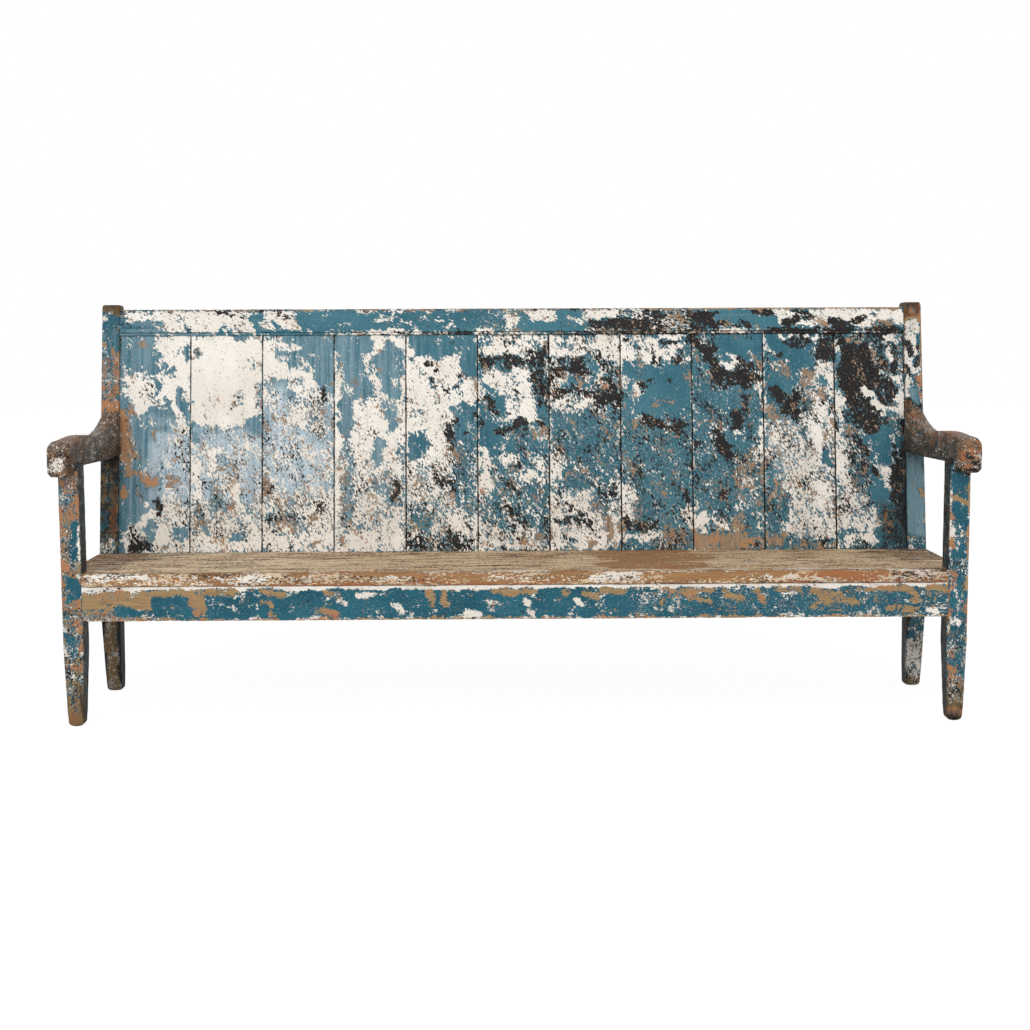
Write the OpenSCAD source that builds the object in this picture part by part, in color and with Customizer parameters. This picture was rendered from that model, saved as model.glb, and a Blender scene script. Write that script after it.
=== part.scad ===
// High-back settle: two square front legs, two rear posts that lean back
// above the seat, shaped arms, a two-plank seat on rails and bearers, and
// a back of eleven tongued boards under a beaded top rail.
// X runs along the seat, the front looks towards -Y, the floor is z = 0.

/* [Overall] */
// Width over the outer faces of the rear posts
bench_w = 2392; // [2100:1:2700]
// Depth from the front legs' faces to the rear posts' faces
seat_depth = 450; // [400:1:520]
// Height of the seat's top above the floor
seat_h = 403; // [380:1:460]
// Height of the rear posts' tops above the floor
back_h = 1117; // [1050:1:1250]
// Lean of the back from upright, in degrees
rake = 8.6; // [5:0.1:12]

/* [Front legs] */
// Distance that each front leg stands inside the post behind it
leg_inset = 16; // [10:1:20]
// Width of a front leg, seen from the front
leg_w = 52; // [46:1:60]
// Depth of a front leg, seen from the side
leg_d = 64; // [56:1:76]
// Width of a front leg's foot
foot_w = 38; // [30:1:46]
// Depth of a front leg's foot
foot_d = 50; // [40:1:56]
// Height at which the legs start to taper
taper_h = 205; // [120:1:250]

/* [Rear posts] */
// Width of a rear post, seen from the front
post_w = 53; // [46:1:60]
// Depth of a rear post at the seat and below
post_d = 58; // [52:1:70]
// Depth of a rear post at its top
post_top_d = 52; // [44:1:58]
// Width of a rear post's foot
rear_foot_w = 43; // [34:1:46]
// Depth of a rear post's foot
rear_foot_d = 50; // [40:1:52]
// Height that the posts stand above the top rail
post_rise = 13; // [5:1:30]

/* [Seat] */
// Thickness of the seat planks
plank_t = 34; // [28:1:40]
// Width of the front plank
front_plank_w = 226; // [180:1:260]
// Joint between the two planks
plank_gap = 1.5; // [0.5:0.1:3]
// Radius of the rounded front edge
nosing_r = 11; // [6:1:14]

/* [Seat rails] */
// Height of the apron and of the other rails under the seat
apron_h = 91; // [80:1:110]
// Thickness of the apron
apron_t = 30; // [26:1:34]
// Distance that the apron lies behind the front legs' faces
apron_setback = 2; // [1:1:5]
// Chamfer along the apron's top front edge
apron_chamfer = 4; // [2:1:6]
// Thickness of the rear rail
rear_rail_t = 30; // [26:1:32]
// Distance that the rear rail lies inside the posts' rear faces
rear_rail_inset = 4; // [2:1:6]
// Thickness of the side rails
side_rail_t = 26; // [22:1:28]
// Distance that the side rails lie inside the front legs' outer faces
side_rail_inset = 6; // [3:1:8]
// Width of a bearer under the planks
bearer_w = 44; // [36:1:60]
// Height of a bearer
bearer_h = 62; // [50:1:75]
// Distance from a front leg to the middle of the nearest bearer
bearer_end = 563; // [450:1:640]

/* [Back] */
// Width of an end board's joint side that the post covers
board_cover = 3.75; // [2:0.25:8]
// Thickness of a back board
board_t = 20; // [16:1:22]
// Depth of the boards' faces behind the posts' faces
board_recess = 10; // [8:1:14]
// Open joint that shows between two boards
board_joint = 3; // [1:0.5:5]
// Thickness of the tongues
tongue_t = 6; // [4:0.5:8]
// Length of the tongues
tongue_l = 8; // [6:0.5:10]
// Depth of the housings round the boards
housing_d = 10; // [8:1:14]
// Height of the top rail
top_rail_h = 77; // [60:1:100]
// Thickness of the top rail
top_rail_t = 33; // [31:1:38]
// Depth of the top rail's face behind the posts' faces
top_rail_recess = 4; // [2:1:5]
// Radius of the bead along the top rail's lower edge
bead_r = 3.5; // [2.5:0.5:4]
// Width and depth of the quirk above the bead
quirk = 2.5; // [1.5:0.5:3]

/* [Arms] */
// Width of an arm
arm_w = 52; // [44:1:58]
// Distance that each arm lies inside the post's outer face
arm_inset = 8; // [2:1:12]
// Height of the arm's underside above the seat
arm_clear = 279; // [220:1:320]
// Thickness of the arm at its hollow
arm_t = 67; // [58:1:80]
// Radius of the rounded nose
nose_r = 50; // [44:1:56]
// Distance of the nose's centre before the front legs' faces
nose_out = 4; // [0:1:12]
// Depth that the nose hangs below the arm's underside
nose_drop = 25; // [15:1:30]
// Rise of the crest between the nose and the hollow
crest_rise = 9; // [4:1:14]
// Distance from the hollow to the post's face at the seat
hollow_back = 193; // [160:1:230]
// Radius of the sweep from the hollow up to the post
hollow_r = 480; // [420:10:600]

/* [Joints] */
// Length of the tenons on the rails
tenon_l = 28; // [22:1:30]
// Thickness of the tenons on the rails
tenon_t = 12; // [9:1:14]
// Shoulder above and below each rail tenon
tenon_shoulder = 10; // [6:1:14]
// Wood left between two tenons that meet in one leg
tenon_wall = 4; // [3:0.5:6]
// Length of the bearers' stub tenons
stub_l = 12; // [8:1:16]
// Width of the tenon on top of a front leg
leg_tenon_w = 20; // [16:1:24]
// Depth of the tenon on top of a front leg
leg_tenon_d = 40; // [30:1:46]
// Height of the tenon on top of a front leg
leg_tenon_h = 44; // [34:1:50]
// Thickness of the tenon on an arm's rear end
arm_tenon_w = 18; // [14:1:20]
// Height of the tenon on an arm's rear end
arm_tenon_h = 70; // [50:1:80]
// Length of the tenon on an arm's rear end
arm_tenon_l = 26; // [20:1:30]
// Clearance round a tenon, tongue or board in its housing
fit_gap = 0.2; // [0.1:0.1:0.5]
// Diameter of the wooden pegs
peg_d = 10; // [8:1:11]
// Clearance round a peg or nail
peg_gap = 0.05; // [0.02:0.01:0.1]
// Diameter of the seat nails
nail_d = 4; // [3:0.5:5]
// Distance from a front leg to the nearest nail in the plank's edge
nail_end = 140; // [60:5:250]
// Length of the seat nails
nail_l = 68; // [55:1:75]
// Diameter of the nail heads
nail_head_d = 9; // [7:0.5:11]
// Thickness of the nail heads
nail_head_t = 2.5; // [1.5:0.5:3.5]

/* [Hidden] */
$fn = 64;

left = -1;
right = 1;
// Overshoot that keeps cuts clear of the faces they open
cut = 1;

// Places across the bench, measured from its middle
post_out = bench_w / 2;
post_in = post_out - post_w;
leg_out = post_out - leg_inset;
leg_in = leg_out - leg_w;
arm_out = post_out - arm_inset;
arm_in = arm_out - arm_w;
side_rail_out = leg_out - side_rail_inset;
side_rail_mid = side_rail_out - side_rail_t / 2;
leg_tenon_mid = (max(leg_in, arm_in) + min(leg_out, arm_out)) / 2;
arm_tenon_mid = (post_in + housing_d + min(arm_out, post_out)) / 2;

// Heights
plank_z = seat_h - plank_t;
apron_z = plank_z - apron_h;
arm_z = seat_h + arm_clear;
rail_tenon_h = apron_h - 2 * tenon_shoulder;
peg_low = apron_z + tenon_shoulder + rail_tenon_h / 4;
peg_high = apron_z + tenon_shoulder + rail_tenon_h * 3 / 4;

// Places from front to back, measured from the front legs' faces
rise = back_h - seat_h;
rake_run = rise * tan(rake);
function post_face(z) = seat_depth + (z - seat_h) * tan(rake);
post_back = seat_depth + post_d;
rear_rail_back = post_back - rear_rail_inset;
rear_rail_mid = rear_rail_back - rear_rail_t / 2;
apron_mid = apron_setback + apron_t / 2;
front_tenon_end = apron_mid + tenon_t / 2 + tenon_wall;
rear_tenon_end = rear_rail_mid - tenon_t / 2 - tenon_wall;
peg_reach = (tenon_t + tenon_wall) / 2;
nose_front = nose_out + nose_r;
// The whole depth is centred on the origin
front_y = nose_front - (nose_front + seat_depth + rake_run + post_top_d) / 2;

// Heights along the leaning back, measured from the seat's top line
rail_top_v = (rise - post_rise) / cos(rake);
rail_low_v = rail_top_v - top_rail_h;
rail_mid_v = (rail_top_v + rail_low_v) / 2;
top_tenon_h = top_rail_h - 2 * tenon_shoulder - housing_d;
top_tenon_v = rail_low_v + housing_d + tenon_shoulder;
top_rail_mid_w = top_rail_recess + top_rail_t / 2;
top_peg_v = top_tenon_v + top_tenon_h / 2;

// Arm
arm_tenon_z = arm_z + (arm_t + crest_rise - arm_tenon_h) / 2 + tenon_shoulder;
arm_tenon_end = post_face(arm_tenon_z + arm_tenon_h / 2) + arm_tenon_l;
arm_peg_y = arm_tenon_end - arm_tenon_l / 2;
arm_peg_z = arm_tenon_z + arm_tenon_h / 2;
leg_mid_y = leg_d / 2;
leg_peg_z = arm_z + leg_tenon_h / 2;

// Boards, bearers and nails
board_count = 11;
middle_board = 6;
board_pitch = 2 * (post_in + board_cover) / board_count;
bearer_pitch = leg_in - bearer_end;
half_row = 3;
nail_row = [-half_row : half_row];
nail_pitch = (leg_in - nail_end) / half_row;
nail_front_y = seat_depth / 3;
nail_rear_y = seat_depth * 4 / 5;
peg_r = peg_d / 2;

// Turns a part's own space into the bench's: the front legs' faces at front_y
module placed() {
  translate([0, front_y, 0]) children();
}

// Mirrors a right-hand shape to the left
module on_side(side) {
  if (side < 0) mirror([1, 0, 0]) children();
  else children();
}

// Leans a shape back about the seat's top line: y is depth behind the
// posts' faces, z runs up the back
module leaning() {
  translate([0, seat_depth, seat_h]) rotate([-rake, 0, 0]) children();
}

// Carries an outline drawn in depth and height across the bench
module across(x0, x1) {
  translate([x0, 0, 0]) rotate([90, 0, 90]) linear_extrude(x1 - x0) children();
}

// Carries an outline drawn in width and height from front to back
module through(y0, y1) {
  translate([0, y1, 0]) rotate([90, 0, 0]) linear_extrude(y1 - y0) children();
}

// A box between two corners
module span(a, b) {
  translate(a) cube(b - a);
}

// A box between two corners, made larger all round by a clearance
module housing(a, b, gap = fit_gap) {
  span(a - [gap, gap, gap], b + [gap, gap, gap]);
}

// A peg or its hole along X, Y or Z
module rod_x(x0, x1, y, z, r) {
  translate([x0, y, z]) rotate([0, 90, 0]) cylinder(r = r, h = x1 - x0);
}
module rod_y(x, y0, y1, z, r) {
  translate([x, y1, z]) rotate([90, 0, 0]) cylinder(r = r, h = y1 - y0);
}
module rod_z(x, y, z0, z1, r) {
  translate([x, y, z0]) cylinder(r = r, h = z1 - z0);
}

// Pegs that lock the rails, as solids with gap = 0 or as holes
module apron_peg_set(gap) {
  for (z = [peg_low, peg_high])
    rod_y(leg_in + tenon_l / 2, -gap, apron_mid + peg_reach, z, peg_r + gap);
}
module rear_rail_peg_set(gap) {
  for (z = [peg_low, peg_high])
    rod_y(post_in + tenon_l / 2, rear_rail_mid - peg_reach, post_back + gap, z, peg_r + gap);
}
module side_rail_peg_set(gap) {
  front_y_mid = (front_tenon_end + leg_d) / 2;
  rear_y_mid = (seat_depth + rear_tenon_end) / 2;
  for (z = [peg_low, peg_high]) {
    rod_x(side_rail_mid - peg_reach, leg_out + gap, front_y_mid, z, peg_r + gap);
    rod_x(side_rail_mid - peg_reach, post_out + gap, rear_y_mid, z, peg_r + gap);
  }
}
module arm_peg_set(gap) {
  past = tenon_wall / 2;
  rod_x(arm_tenon_mid - arm_tenon_w / 2 - past, post_out + gap, arm_peg_y, arm_peg_z, peg_r + gap);
  rod_x(leg_tenon_mid - leg_tenon_w / 2 - past, arm_out + gap, leg_mid_y, leg_peg_z, peg_r + gap);
}
module top_rail_peg_set(gap) {
  leaning()
    rod_y(post_in + tenon_l / 2, -gap, top_rail_mid_w + peg_reach, top_peg_v, peg_r + gap);
}

// Nails through the planks, as solids with gap = 0 or as holes
module nail(x, y, gap) {
  rod_z(x, y, seat_h - nail_l, seat_h - nail_head_t / 2, nail_d / 2 + gap);
  rod_z(x, y, seat_h - nail_head_t, seat_h + gap, nail_head_d / 2 + gap);
}
module front_nails(gap) {
  for (i = nail_row) nail(i * nail_pitch, apron_mid, gap);
  for (i = [-1 : 1]) nail(i * bearer_pitch, nail_front_y, gap);
  for (s = [left, right]) nail(s * side_rail_mid, nail_front_y, gap);
}
module rear_nails(gap) {
  for (i = nail_row) nail(i * nail_pitch, rear_rail_mid + tenon_t / 2, gap);
  for (i = [-1 : 1]) nail(i * bearer_pitch, nail_rear_y, gap);
  for (s = [left, right]) nail(s * side_rail_mid, nail_rear_y, gap);
}

// Tenons, drawn once and used again as mortises with a clearance
module apron_tenon(gap) {
  housing([leg_in - cut, apron_mid - tenon_t / 2, apron_z + tenon_shoulder],
    [leg_in + tenon_l, apron_mid + tenon_t / 2, plank_z - tenon_shoulder], gap);
}
module rear_rail_tenon(gap) {
  housing([post_in - cut, rear_rail_mid - tenon_t / 2, apron_z + tenon_shoulder],
    [post_in + tenon_l, rear_rail_mid + tenon_t / 2, plank_z - tenon_shoulder], gap);
}
module side_rail_tenons(gap) {
  housing([side_rail_mid - tenon_t / 2, front_tenon_end, apron_z + tenon_shoulder],
    [side_rail_mid + tenon_t / 2, leg_d + cut, plank_z - tenon_shoulder], gap);
  housing([side_rail_mid - tenon_t / 2, seat_depth - cut, apron_z + tenon_shoulder],
    [side_rail_mid + tenon_t / 2, rear_tenon_end, plank_z - tenon_shoulder], gap);
}
module leg_tenon(gap) {
  housing([leg_tenon_mid - leg_tenon_w / 2, leg_mid_y - leg_tenon_d / 2, arm_z - cut],
    [leg_tenon_mid + leg_tenon_w / 2, leg_mid_y + leg_tenon_d / 2, arm_z + leg_tenon_h], gap);
}
module arm_tenon(gap) {
  housing([arm_tenon_mid - arm_tenon_w / 2, seat_depth, arm_tenon_z],
    [arm_tenon_mid + arm_tenon_w / 2, arm_tenon_end, arm_tenon_z + arm_tenon_h], gap);
}
module top_rail_tenon(gap) {
  leaning()
    housing([post_in - cut, top_rail_mid_w - tenon_t / 2, top_tenon_v],
      [post_in + tenon_l, top_rail_mid_w + tenon_t / 2, top_tenon_v + top_tenon_h], gap);
}

// Space that the boards stand in: part of the seat, the posts and the rail
module board_housing(half) {
  leaning()
    span([-half - fit_gap, board_recess - fit_gap, -housing_d],
      [half + fit_gap, board_recess + board_t + fit_gap, rail_low_v + housing_d]);
}

// Front leg, with its tenon up into the arm
module front_leg(side) {
  inner = leg_in + (leg_w - foot_w) / 2;
  outer = leg_out - (leg_w - foot_w) / 2;
  color("teal") placed() on_side(side) difference() {
    union() {
      intersection() {
        through(0, leg_d) polygon([[inner, 0], [outer, 0], [leg_out, taper_h],
          [leg_out, arm_z], [leg_in, arm_z], [leg_in, taper_h]]);
        across(leg_in, leg_out) polygon([[0, 0], [foot_d, 0], [leg_d, taper_h],
          [leg_d, arm_z], [0, arm_z]]);
      }
      leg_tenon(0);
    }
    apron_tenon(fit_gap);
    side_rail_tenons(fit_gap);
    apron_peg_set(peg_gap);
    side_rail_peg_set(peg_gap);
    arm_peg_set(peg_gap);
  }
}

// Rear post: leg below the seat and leaning upright above it in one piece
module rear_post(side) {
  foot_out = post_in + rear_foot_w;
  color("cadetblue") placed() on_side(side) difference() {
    intersection() {
      across(post_in, post_out) polygon([
        [seat_depth, 0], [seat_depth + rear_foot_d, 0], [post_back, taper_h],
        [post_back, seat_h], [seat_depth + rake_run + post_top_d, back_h],
        [seat_depth + rake_run, back_h], [seat_depth, seat_h]]);
      through(seat_depth, seat_depth + rake_run + post_top_d) polygon([
        [post_in, 0], [foot_out, 0], [post_out, taper_h],
        [post_out, back_h], [post_in, back_h]]);
    }
    board_housing(post_in + housing_d);
    rear_rail_tenon(fit_gap);
    side_rail_tenons(fit_gap);
    arm_tenon(fit_gap);
    top_rail_tenon(fit_gap);
    rear_rail_peg_set(peg_gap);
    side_rail_peg_set(peg_gap);
    arm_peg_set(peg_gap);
    top_rail_peg_set(peg_gap);
  }
}

// Outline of an arm in depth and height: round nose, long low crest,
// hollow, and a sweep up to the post
module arm_outline() {
  top = arm_z + arm_t;
  hollow_y = seat_depth - hollow_back;
  half_crest = (hollow_y + nose_out) / 2;
  crest_r = (half_crest * half_crest + crest_rise * crest_rise) / (2 * crest_rise);
  sweep_top = top + hollow_r;
  difference() {
    union() {
      translate([-nose_out, top - nose_r]) circle(nose_r, $fn = 96);
      intersection() {
        translate([hollow_y - half_crest, top + crest_rise - crest_r]) circle(crest_r, $fn = 360);
        translate([-nose_out, arm_z]) square([hollow_y + nose_out, arm_t + crest_rise]);
      }
      difference() {
        polygon([[hollow_y - cut, arm_z], [post_face(arm_z), arm_z],
          [post_face(sweep_top), sweep_top], [hollow_y - cut, sweep_top]]);
        translate([hollow_y, sweep_top]) circle(hollow_r, $fn = 360);
      }
    }
    translate([-nose_front - cut, arm_z - 2 * nose_r])
      square([2 * nose_front, 2 * nose_r - nose_drop]);
    translate([0, arm_z - 2 * nose_r]) square([seat_depth, 2 * nose_r]);
  }
}

// Arm, mortised over the front leg and tenoned into the post
module arm(side) {
  color("saddlebrown") placed() on_side(side) difference() {
    union() {
      across(arm_in, arm_out) arm_outline();
      arm_tenon(0);
    }
    leg_tenon(fit_gap);
    arm_peg_set(peg_gap);
  }
}

// Stub tenons that carry the bearers
module bearer_body(x, gap) {
  bearer_top = plank_z;
  span([x - bearer_w / 2, apron_setback + apron_t, bearer_top - bearer_h],
    [x + bearer_w / 2, rear_rail_back - rear_rail_t, bearer_top]);
  housing([x - bearer_w / 2 + tenon_shoulder, apron_setback + apron_t - stub_l,
      bearer_top - bearer_h + tenon_shoulder],
    [x + bearer_w / 2 - tenon_shoulder, rear_rail_back - rear_rail_t + stub_l,
      bearer_top - tenon_shoulder], gap);
}
module bearer_housings() {
  for (i = [-1 : 1]) bearer_body(i * bearer_pitch, fit_gap);
}

// Apron under the seat's front edge
module front_apron() {
  color("darkcyan") placed() difference() {
    union() {
      across(-leg_in, leg_in) polygon([
        [apron_setback, apron_z], [apron_setback + apron_t, apron_z],
        [apron_setback + apron_t, plank_z], [apron_setback + apron_chamfer, plank_z],
        [apron_setback, plank_z - apron_chamfer]]);
      for (s = [left, right]) on_side(s) apron_tenon(0);
    }
    for (s = [left, right]) on_side(s) apron_peg_set(peg_gap);
    bearer_housings();
    front_nails(peg_gap);
  }
}

// Rail that joins the rear posts under the seat
module rear_seat_rail() {
  color("tan") placed() difference() {
    union() {
      span([-post_in, rear_rail_back - rear_rail_t, apron_z], [post_in, rear_rail_back, plank_z]);
      for (s = [left, right]) on_side(s) rear_rail_tenon(0);
    }
    for (s = [left, right]) on_side(s) rear_rail_peg_set(peg_gap);
    bearer_housings();
    rear_nails(peg_gap);
  }
}

// Rail from a front leg back to its post
module side_rail(side) {
  color("steelblue") placed() on_side(side) difference() {
    union() {
      span([side_rail_out - side_rail_t, leg_d, apron_z], [side_rail_out, seat_depth, plank_z]);
      side_rail_tenons(0);
    }
    side_rail_peg_set(peg_gap);
    front_nails(peg_gap);
    rear_nails(peg_gap);
  }
}

// Bearer from the apron back to the rear rail
module seat_bearer(i) {
  color("burlywood") placed() difference() {
    bearer_body(i * bearer_pitch, 0);
    front_nails(peg_gap);
    rear_nails(peg_gap);
  }
}

// Plan of the whole seat: ends flush with legs and posts, notched round them
module seat_plan() {
  difference() {
    polygon([[-leg_out, 0], [leg_out, 0], [leg_out, leg_d], [post_out, seat_depth],
      [post_out, post_back], [-post_out, post_back], [-post_out, seat_depth], [-leg_out, leg_d]]);
    for (s = [left, right]) on_side(s) {
      translate([leg_in - fit_gap, -cut]) square([leg_w + cut, leg_d + fit_gap + cut]);
      translate([post_in - fit_gap, seat_depth - fit_gap]) square([post_w + cut, post_d + 2 * cut]);
    }
  }
}

// Front plank, with the rounded front edge
module front_seat_plank() {
  color("rosybrown") placed() difference() {
    intersection() {
      translate([0, 0, plank_z]) linear_extrude(plank_t) seat_plan();
      across(-post_out, post_out) union() {
        translate([0, plank_z]) square([front_plank_w, plank_t - nosing_r]);
        translate([nosing_r, plank_z]) square([front_plank_w - nosing_r, plank_t]);
        translate([nosing_r, seat_h - nosing_r]) circle(nosing_r);
      }
    }
    front_nails(peg_gap);
  }
}

// Rear plank, with the groove that the boards stand in
module rear_seat_plank() {
  color("peru") placed() difference() {
    intersection() {
      translate([0, 0, plank_z]) linear_extrude(plank_t) seat_plan();
      span([-post_out, front_plank_w + plank_gap, plank_z], [post_out, post_back, seat_h]);
    }
    board_housing(post_in + housing_d);
    rear_nails(peg_gap);
  }
}

// Top rail: housed over the boards, with a bead and quirk on its front
module top_rail() {
  color("cadetblue") placed() difference() {
    union() {
      leaning() difference() {
        span([-post_in, top_rail_recess, rail_low_v],
          [post_in, top_rail_recess + top_rail_t, rail_top_v]);
        span([-post_in - cut, top_rail_recess - cut, rail_low_v - cut],
          [post_in + cut, top_rail_recess + bead_r, rail_low_v + 2 * bead_r]);
        span([-post_in - cut, top_rail_recess - cut, rail_low_v + 2 * bead_r],
          [post_in + cut, top_rail_recess + quirk, rail_low_v + 2 * bead_r + quirk]);
      }
      leaning() rod_x(-post_in, post_in, top_rail_recess + bead_r, rail_low_v + bead_r, bead_r);
      for (s = [left, right]) on_side(s) top_rail_tenon(0);
    }
    board_housing(post_in);
    for (s = [left, right]) on_side(s) top_rail_peg_set(peg_gap);
  }
}

// Back board: tongues point away from the middle board, and the two end
// boards are cut to fit into the posts' grooves
module back_board(number) {
  i = abs(number - middle_board);
  last = (board_count - 1) / 2;
  inner = (i - 0.5) * board_pitch + board_joint / 2;
  outer = i == last ? post_in + housing_d - fit_gap : (i + 0.5) * board_pitch - board_joint / 2;
  mid_w = board_recess + board_t / 2;
  foot_v = -housing_d;
  head_v = rail_low_v + housing_d - cut;
  color("lightsteelblue") placed() on_side(number < middle_board ? left : right) leaning() difference() {
    union() {
      span([inner, board_recess, foot_v], [outer, board_recess + board_t, head_v]);
      for (s = i == 0 ? [left, right] : [right]) on_side(s)
        if (i < last) span([outer - cut, mid_w - tongue_t / 2, foot_v],
          [outer + tongue_l, mid_w + tongue_t / 2, head_v]);
    }
    if (i > 0) span([inner - cut, mid_w - tongue_t / 2 - fit_gap, foot_v - cut],
      [inner + tongue_l - board_joint + cut, mid_w + tongue_t / 2 + fit_gap, head_v + cut]);
  }
}

// Pegs and nails, each kind as one group
module apron_pegs() {
  color("sienna") placed() for (s = [left, right]) on_side(s) apron_peg_set(0);
}
module rear_rail_pegs() {
  color("sienna") placed() for (s = [left, right]) on_side(s) rear_rail_peg_set(0);
}
module side_rail_pegs() {
  color("sienna") placed() for (s = [left, right]) on_side(s) side_rail_peg_set(0);
}
module arm_pegs() {
  color("sienna") placed() for (s = [left, right]) on_side(s) arm_peg_set(0);
}
module top_rail_pegs() {
  color("sienna") placed() for (s = [left, right]) on_side(s) top_rail_peg_set(0);
}
module seat_nails() {
  color("dimgray") placed() {
    front_nails(0);
    rear_nails(0);
  }
}

front_leg(left);  // front_leg_left
front_leg(right);  // front_leg_right
rear_post(left);  // rear_post_left
rear_post(right);  // rear_post_right
arm(left);  // arm_left
arm(right);  // arm_right
front_apron();
rear_seat_rail();
side_rail(left);  // side_rail_left
side_rail(right);  // side_rail_right
seat_bearer(-1);  // seat_bearer_left
seat_bearer(0);  // seat_bearer_middle
seat_bearer(1);  // seat_bearer_right
front_seat_plank();
rear_seat_plank();
top_rail();
back_board(1);  // back_board_01
back_board(2);  // back_board_02
back_board(3);  // back_board_03
back_board(4);  // back_board_04
back_board(5);  // back_board_05
back_board(6);  // back_board_06
back_board(7);  // back_board_07
back_board(8);  // back_board_08
back_board(9);  // back_board_09
back_board(10);  // back_board_10
back_board(11);  // back_board_11
apron_pegs();
rear_rail_pegs();
side_rail_pegs();
arm_pegs();
top_rail_pegs();
seat_nails();
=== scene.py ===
import math

import bpy
import numpy as np
from mathutils import Matrix, Vector


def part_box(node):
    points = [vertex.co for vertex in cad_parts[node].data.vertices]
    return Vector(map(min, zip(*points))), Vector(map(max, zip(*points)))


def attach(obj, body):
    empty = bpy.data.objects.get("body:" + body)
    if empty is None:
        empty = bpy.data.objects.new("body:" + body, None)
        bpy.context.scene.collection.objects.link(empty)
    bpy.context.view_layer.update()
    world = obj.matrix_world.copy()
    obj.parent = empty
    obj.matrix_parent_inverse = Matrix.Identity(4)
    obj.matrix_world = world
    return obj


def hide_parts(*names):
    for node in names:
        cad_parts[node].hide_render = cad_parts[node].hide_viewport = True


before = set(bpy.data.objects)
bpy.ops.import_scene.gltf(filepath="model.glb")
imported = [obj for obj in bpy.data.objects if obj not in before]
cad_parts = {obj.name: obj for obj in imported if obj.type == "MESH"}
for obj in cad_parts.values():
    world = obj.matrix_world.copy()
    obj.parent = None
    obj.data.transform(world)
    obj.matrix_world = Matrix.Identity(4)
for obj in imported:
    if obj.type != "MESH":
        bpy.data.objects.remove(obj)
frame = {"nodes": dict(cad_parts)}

bl_info = {
    "name": "High-back settle",
    "version": (1, 0, 0),
    "blender": (4, 5, 0),
    "location": "View3D > Sidebar > Settle",
    "description": "Dresses an old painted settle: worn timber, layers of flaking paint and bare seat",
    "category": "Object",
}

MM = 0.001

# Places taken from the construction, in metres
SEAT_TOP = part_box("front_seat_plank")[1].z
PLANK_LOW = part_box("front_seat_plank")[0].z
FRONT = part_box("front_leg_left")[0].y
POST_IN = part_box("rear_post_right")[0].x
POST_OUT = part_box("rear_post_right")[1].x
POST_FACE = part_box("rear_post_right")[0].y
POST_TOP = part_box("rear_post_right")[1].z
LEG_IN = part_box("front_leg_right")[0].x
LEG_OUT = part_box("front_leg_right")[1].x
LEG_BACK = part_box("front_leg_right")[1].y
ARM_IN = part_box("arm_right")[0].x
ARM_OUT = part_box("arm_right")[1].x
NOSE_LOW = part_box("arm_right")[0].z
PLANK_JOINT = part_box("front_seat_plank")[1].y
SEAT_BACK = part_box("rear_seat_plank")[1].y

# Sizes that the boxes don't give, as the construction has them
RAKE = math.radians(8.6)
BOARD_COUNT = 11
BOARD_COVER = 3.75 * MM
BOARD_JOINT = 3 * MM
BOARD_RECESS = 10 * MM
BOARD_T = 20 * MM
TONGUE_T = 6 * MM
TONGUE_L = 8 * MM
HOUSING_D = 10 * MM
FIT_GAP = 0.2 * MM
RAIL_H = 77 * MM
RAIL_T = 33 * MM
RAIL_RECESS = 4 * MM
POST_RISE = 13 * MM
BEAD_R = 3.5 * MM
QUIRK = 2.5 * MM
TAPER_H = 205 * MM
FOOT_W = 38 * MM
FOOT_D = 50 * MM
REAR_FOOT_W = 43 * MM
REAR_FOOT_D = 50 * MM
POST_D = 58 * MM
POST_TOP_D = 52 * MM
ARM_Z = SEAT_TOP + 279 * MM
ARM_T = 67 * MM
NOSE_R = 50 * MM
NOSE_OUT = 4 * MM
CREST_RISE = 9 * MM
HOLLOW_BACK = 193 * MM
HOLLOW_R = 480 * MM
TENON_L = 28 * MM
TENON_T = 12 * MM
SHOULDER = 10 * MM
STUB_L = 12 * MM
PEG_R = 5 * MM
NAIL_R = 2 * MM
NAIL_HEAD_R = 4.5 * MM
NAIL_HEAD_T = 2.5 * MM
NAIL_ROW_IN = 177.5 * MM
BEARER_X = 565 * MM
PEG_DEPTH = 0.6 * MM
SHARP = math.radians(50)

# Wear and shapes of the surfaces alone: how square the noses' curve is, 2 being a circle, how far the
# arms' undersides sag and their noses flare and round off, and half the width that a patch's -1 to 1
# stands for
NOSE_FULLNESS = 2.7
ARM_SAG = 4.5 * MM
NOSE_FLARE = 2.7 * MM
NOSE_EASE = 13 * MM
HALF_MEMBER = 26 * MM
HALF_NOSE = 33 * MM
NAIL_SUNK = 3 * MM
BEARER_NAILS = (150 * MM, 360 * MM)

# How softly each piece's patches end, and how far their places wander along and across it
BACK_EDGE = (15 * MM, (12 * MM, 13 * MM))
RAIL_EDGE = (6 * MM, (11 * MM, 4 * MM))
SEAT_EDGE = (7 * MM, (10 * MM, 5 * MM))
APRON_EDGE = (5 * MM, (9 * MM, 4 * MM))
MEMBER_EDGE = (6 * MM, (3 * MM, 7 * MM))
NOSE_EDGE = (4 * MM, (2 * MM, 2 * MM))

# First seed of each piece's wander, so that no two pieces share a pattern
RAIL_SEED = 300
SEAT_SEED = 401
APRON_SEED = 500
LEG_SEED = 600
POST_SEED = 700
ARM_SEED = 800
PEG_SEED = 1000
NAIL_SEED = 1200

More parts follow.
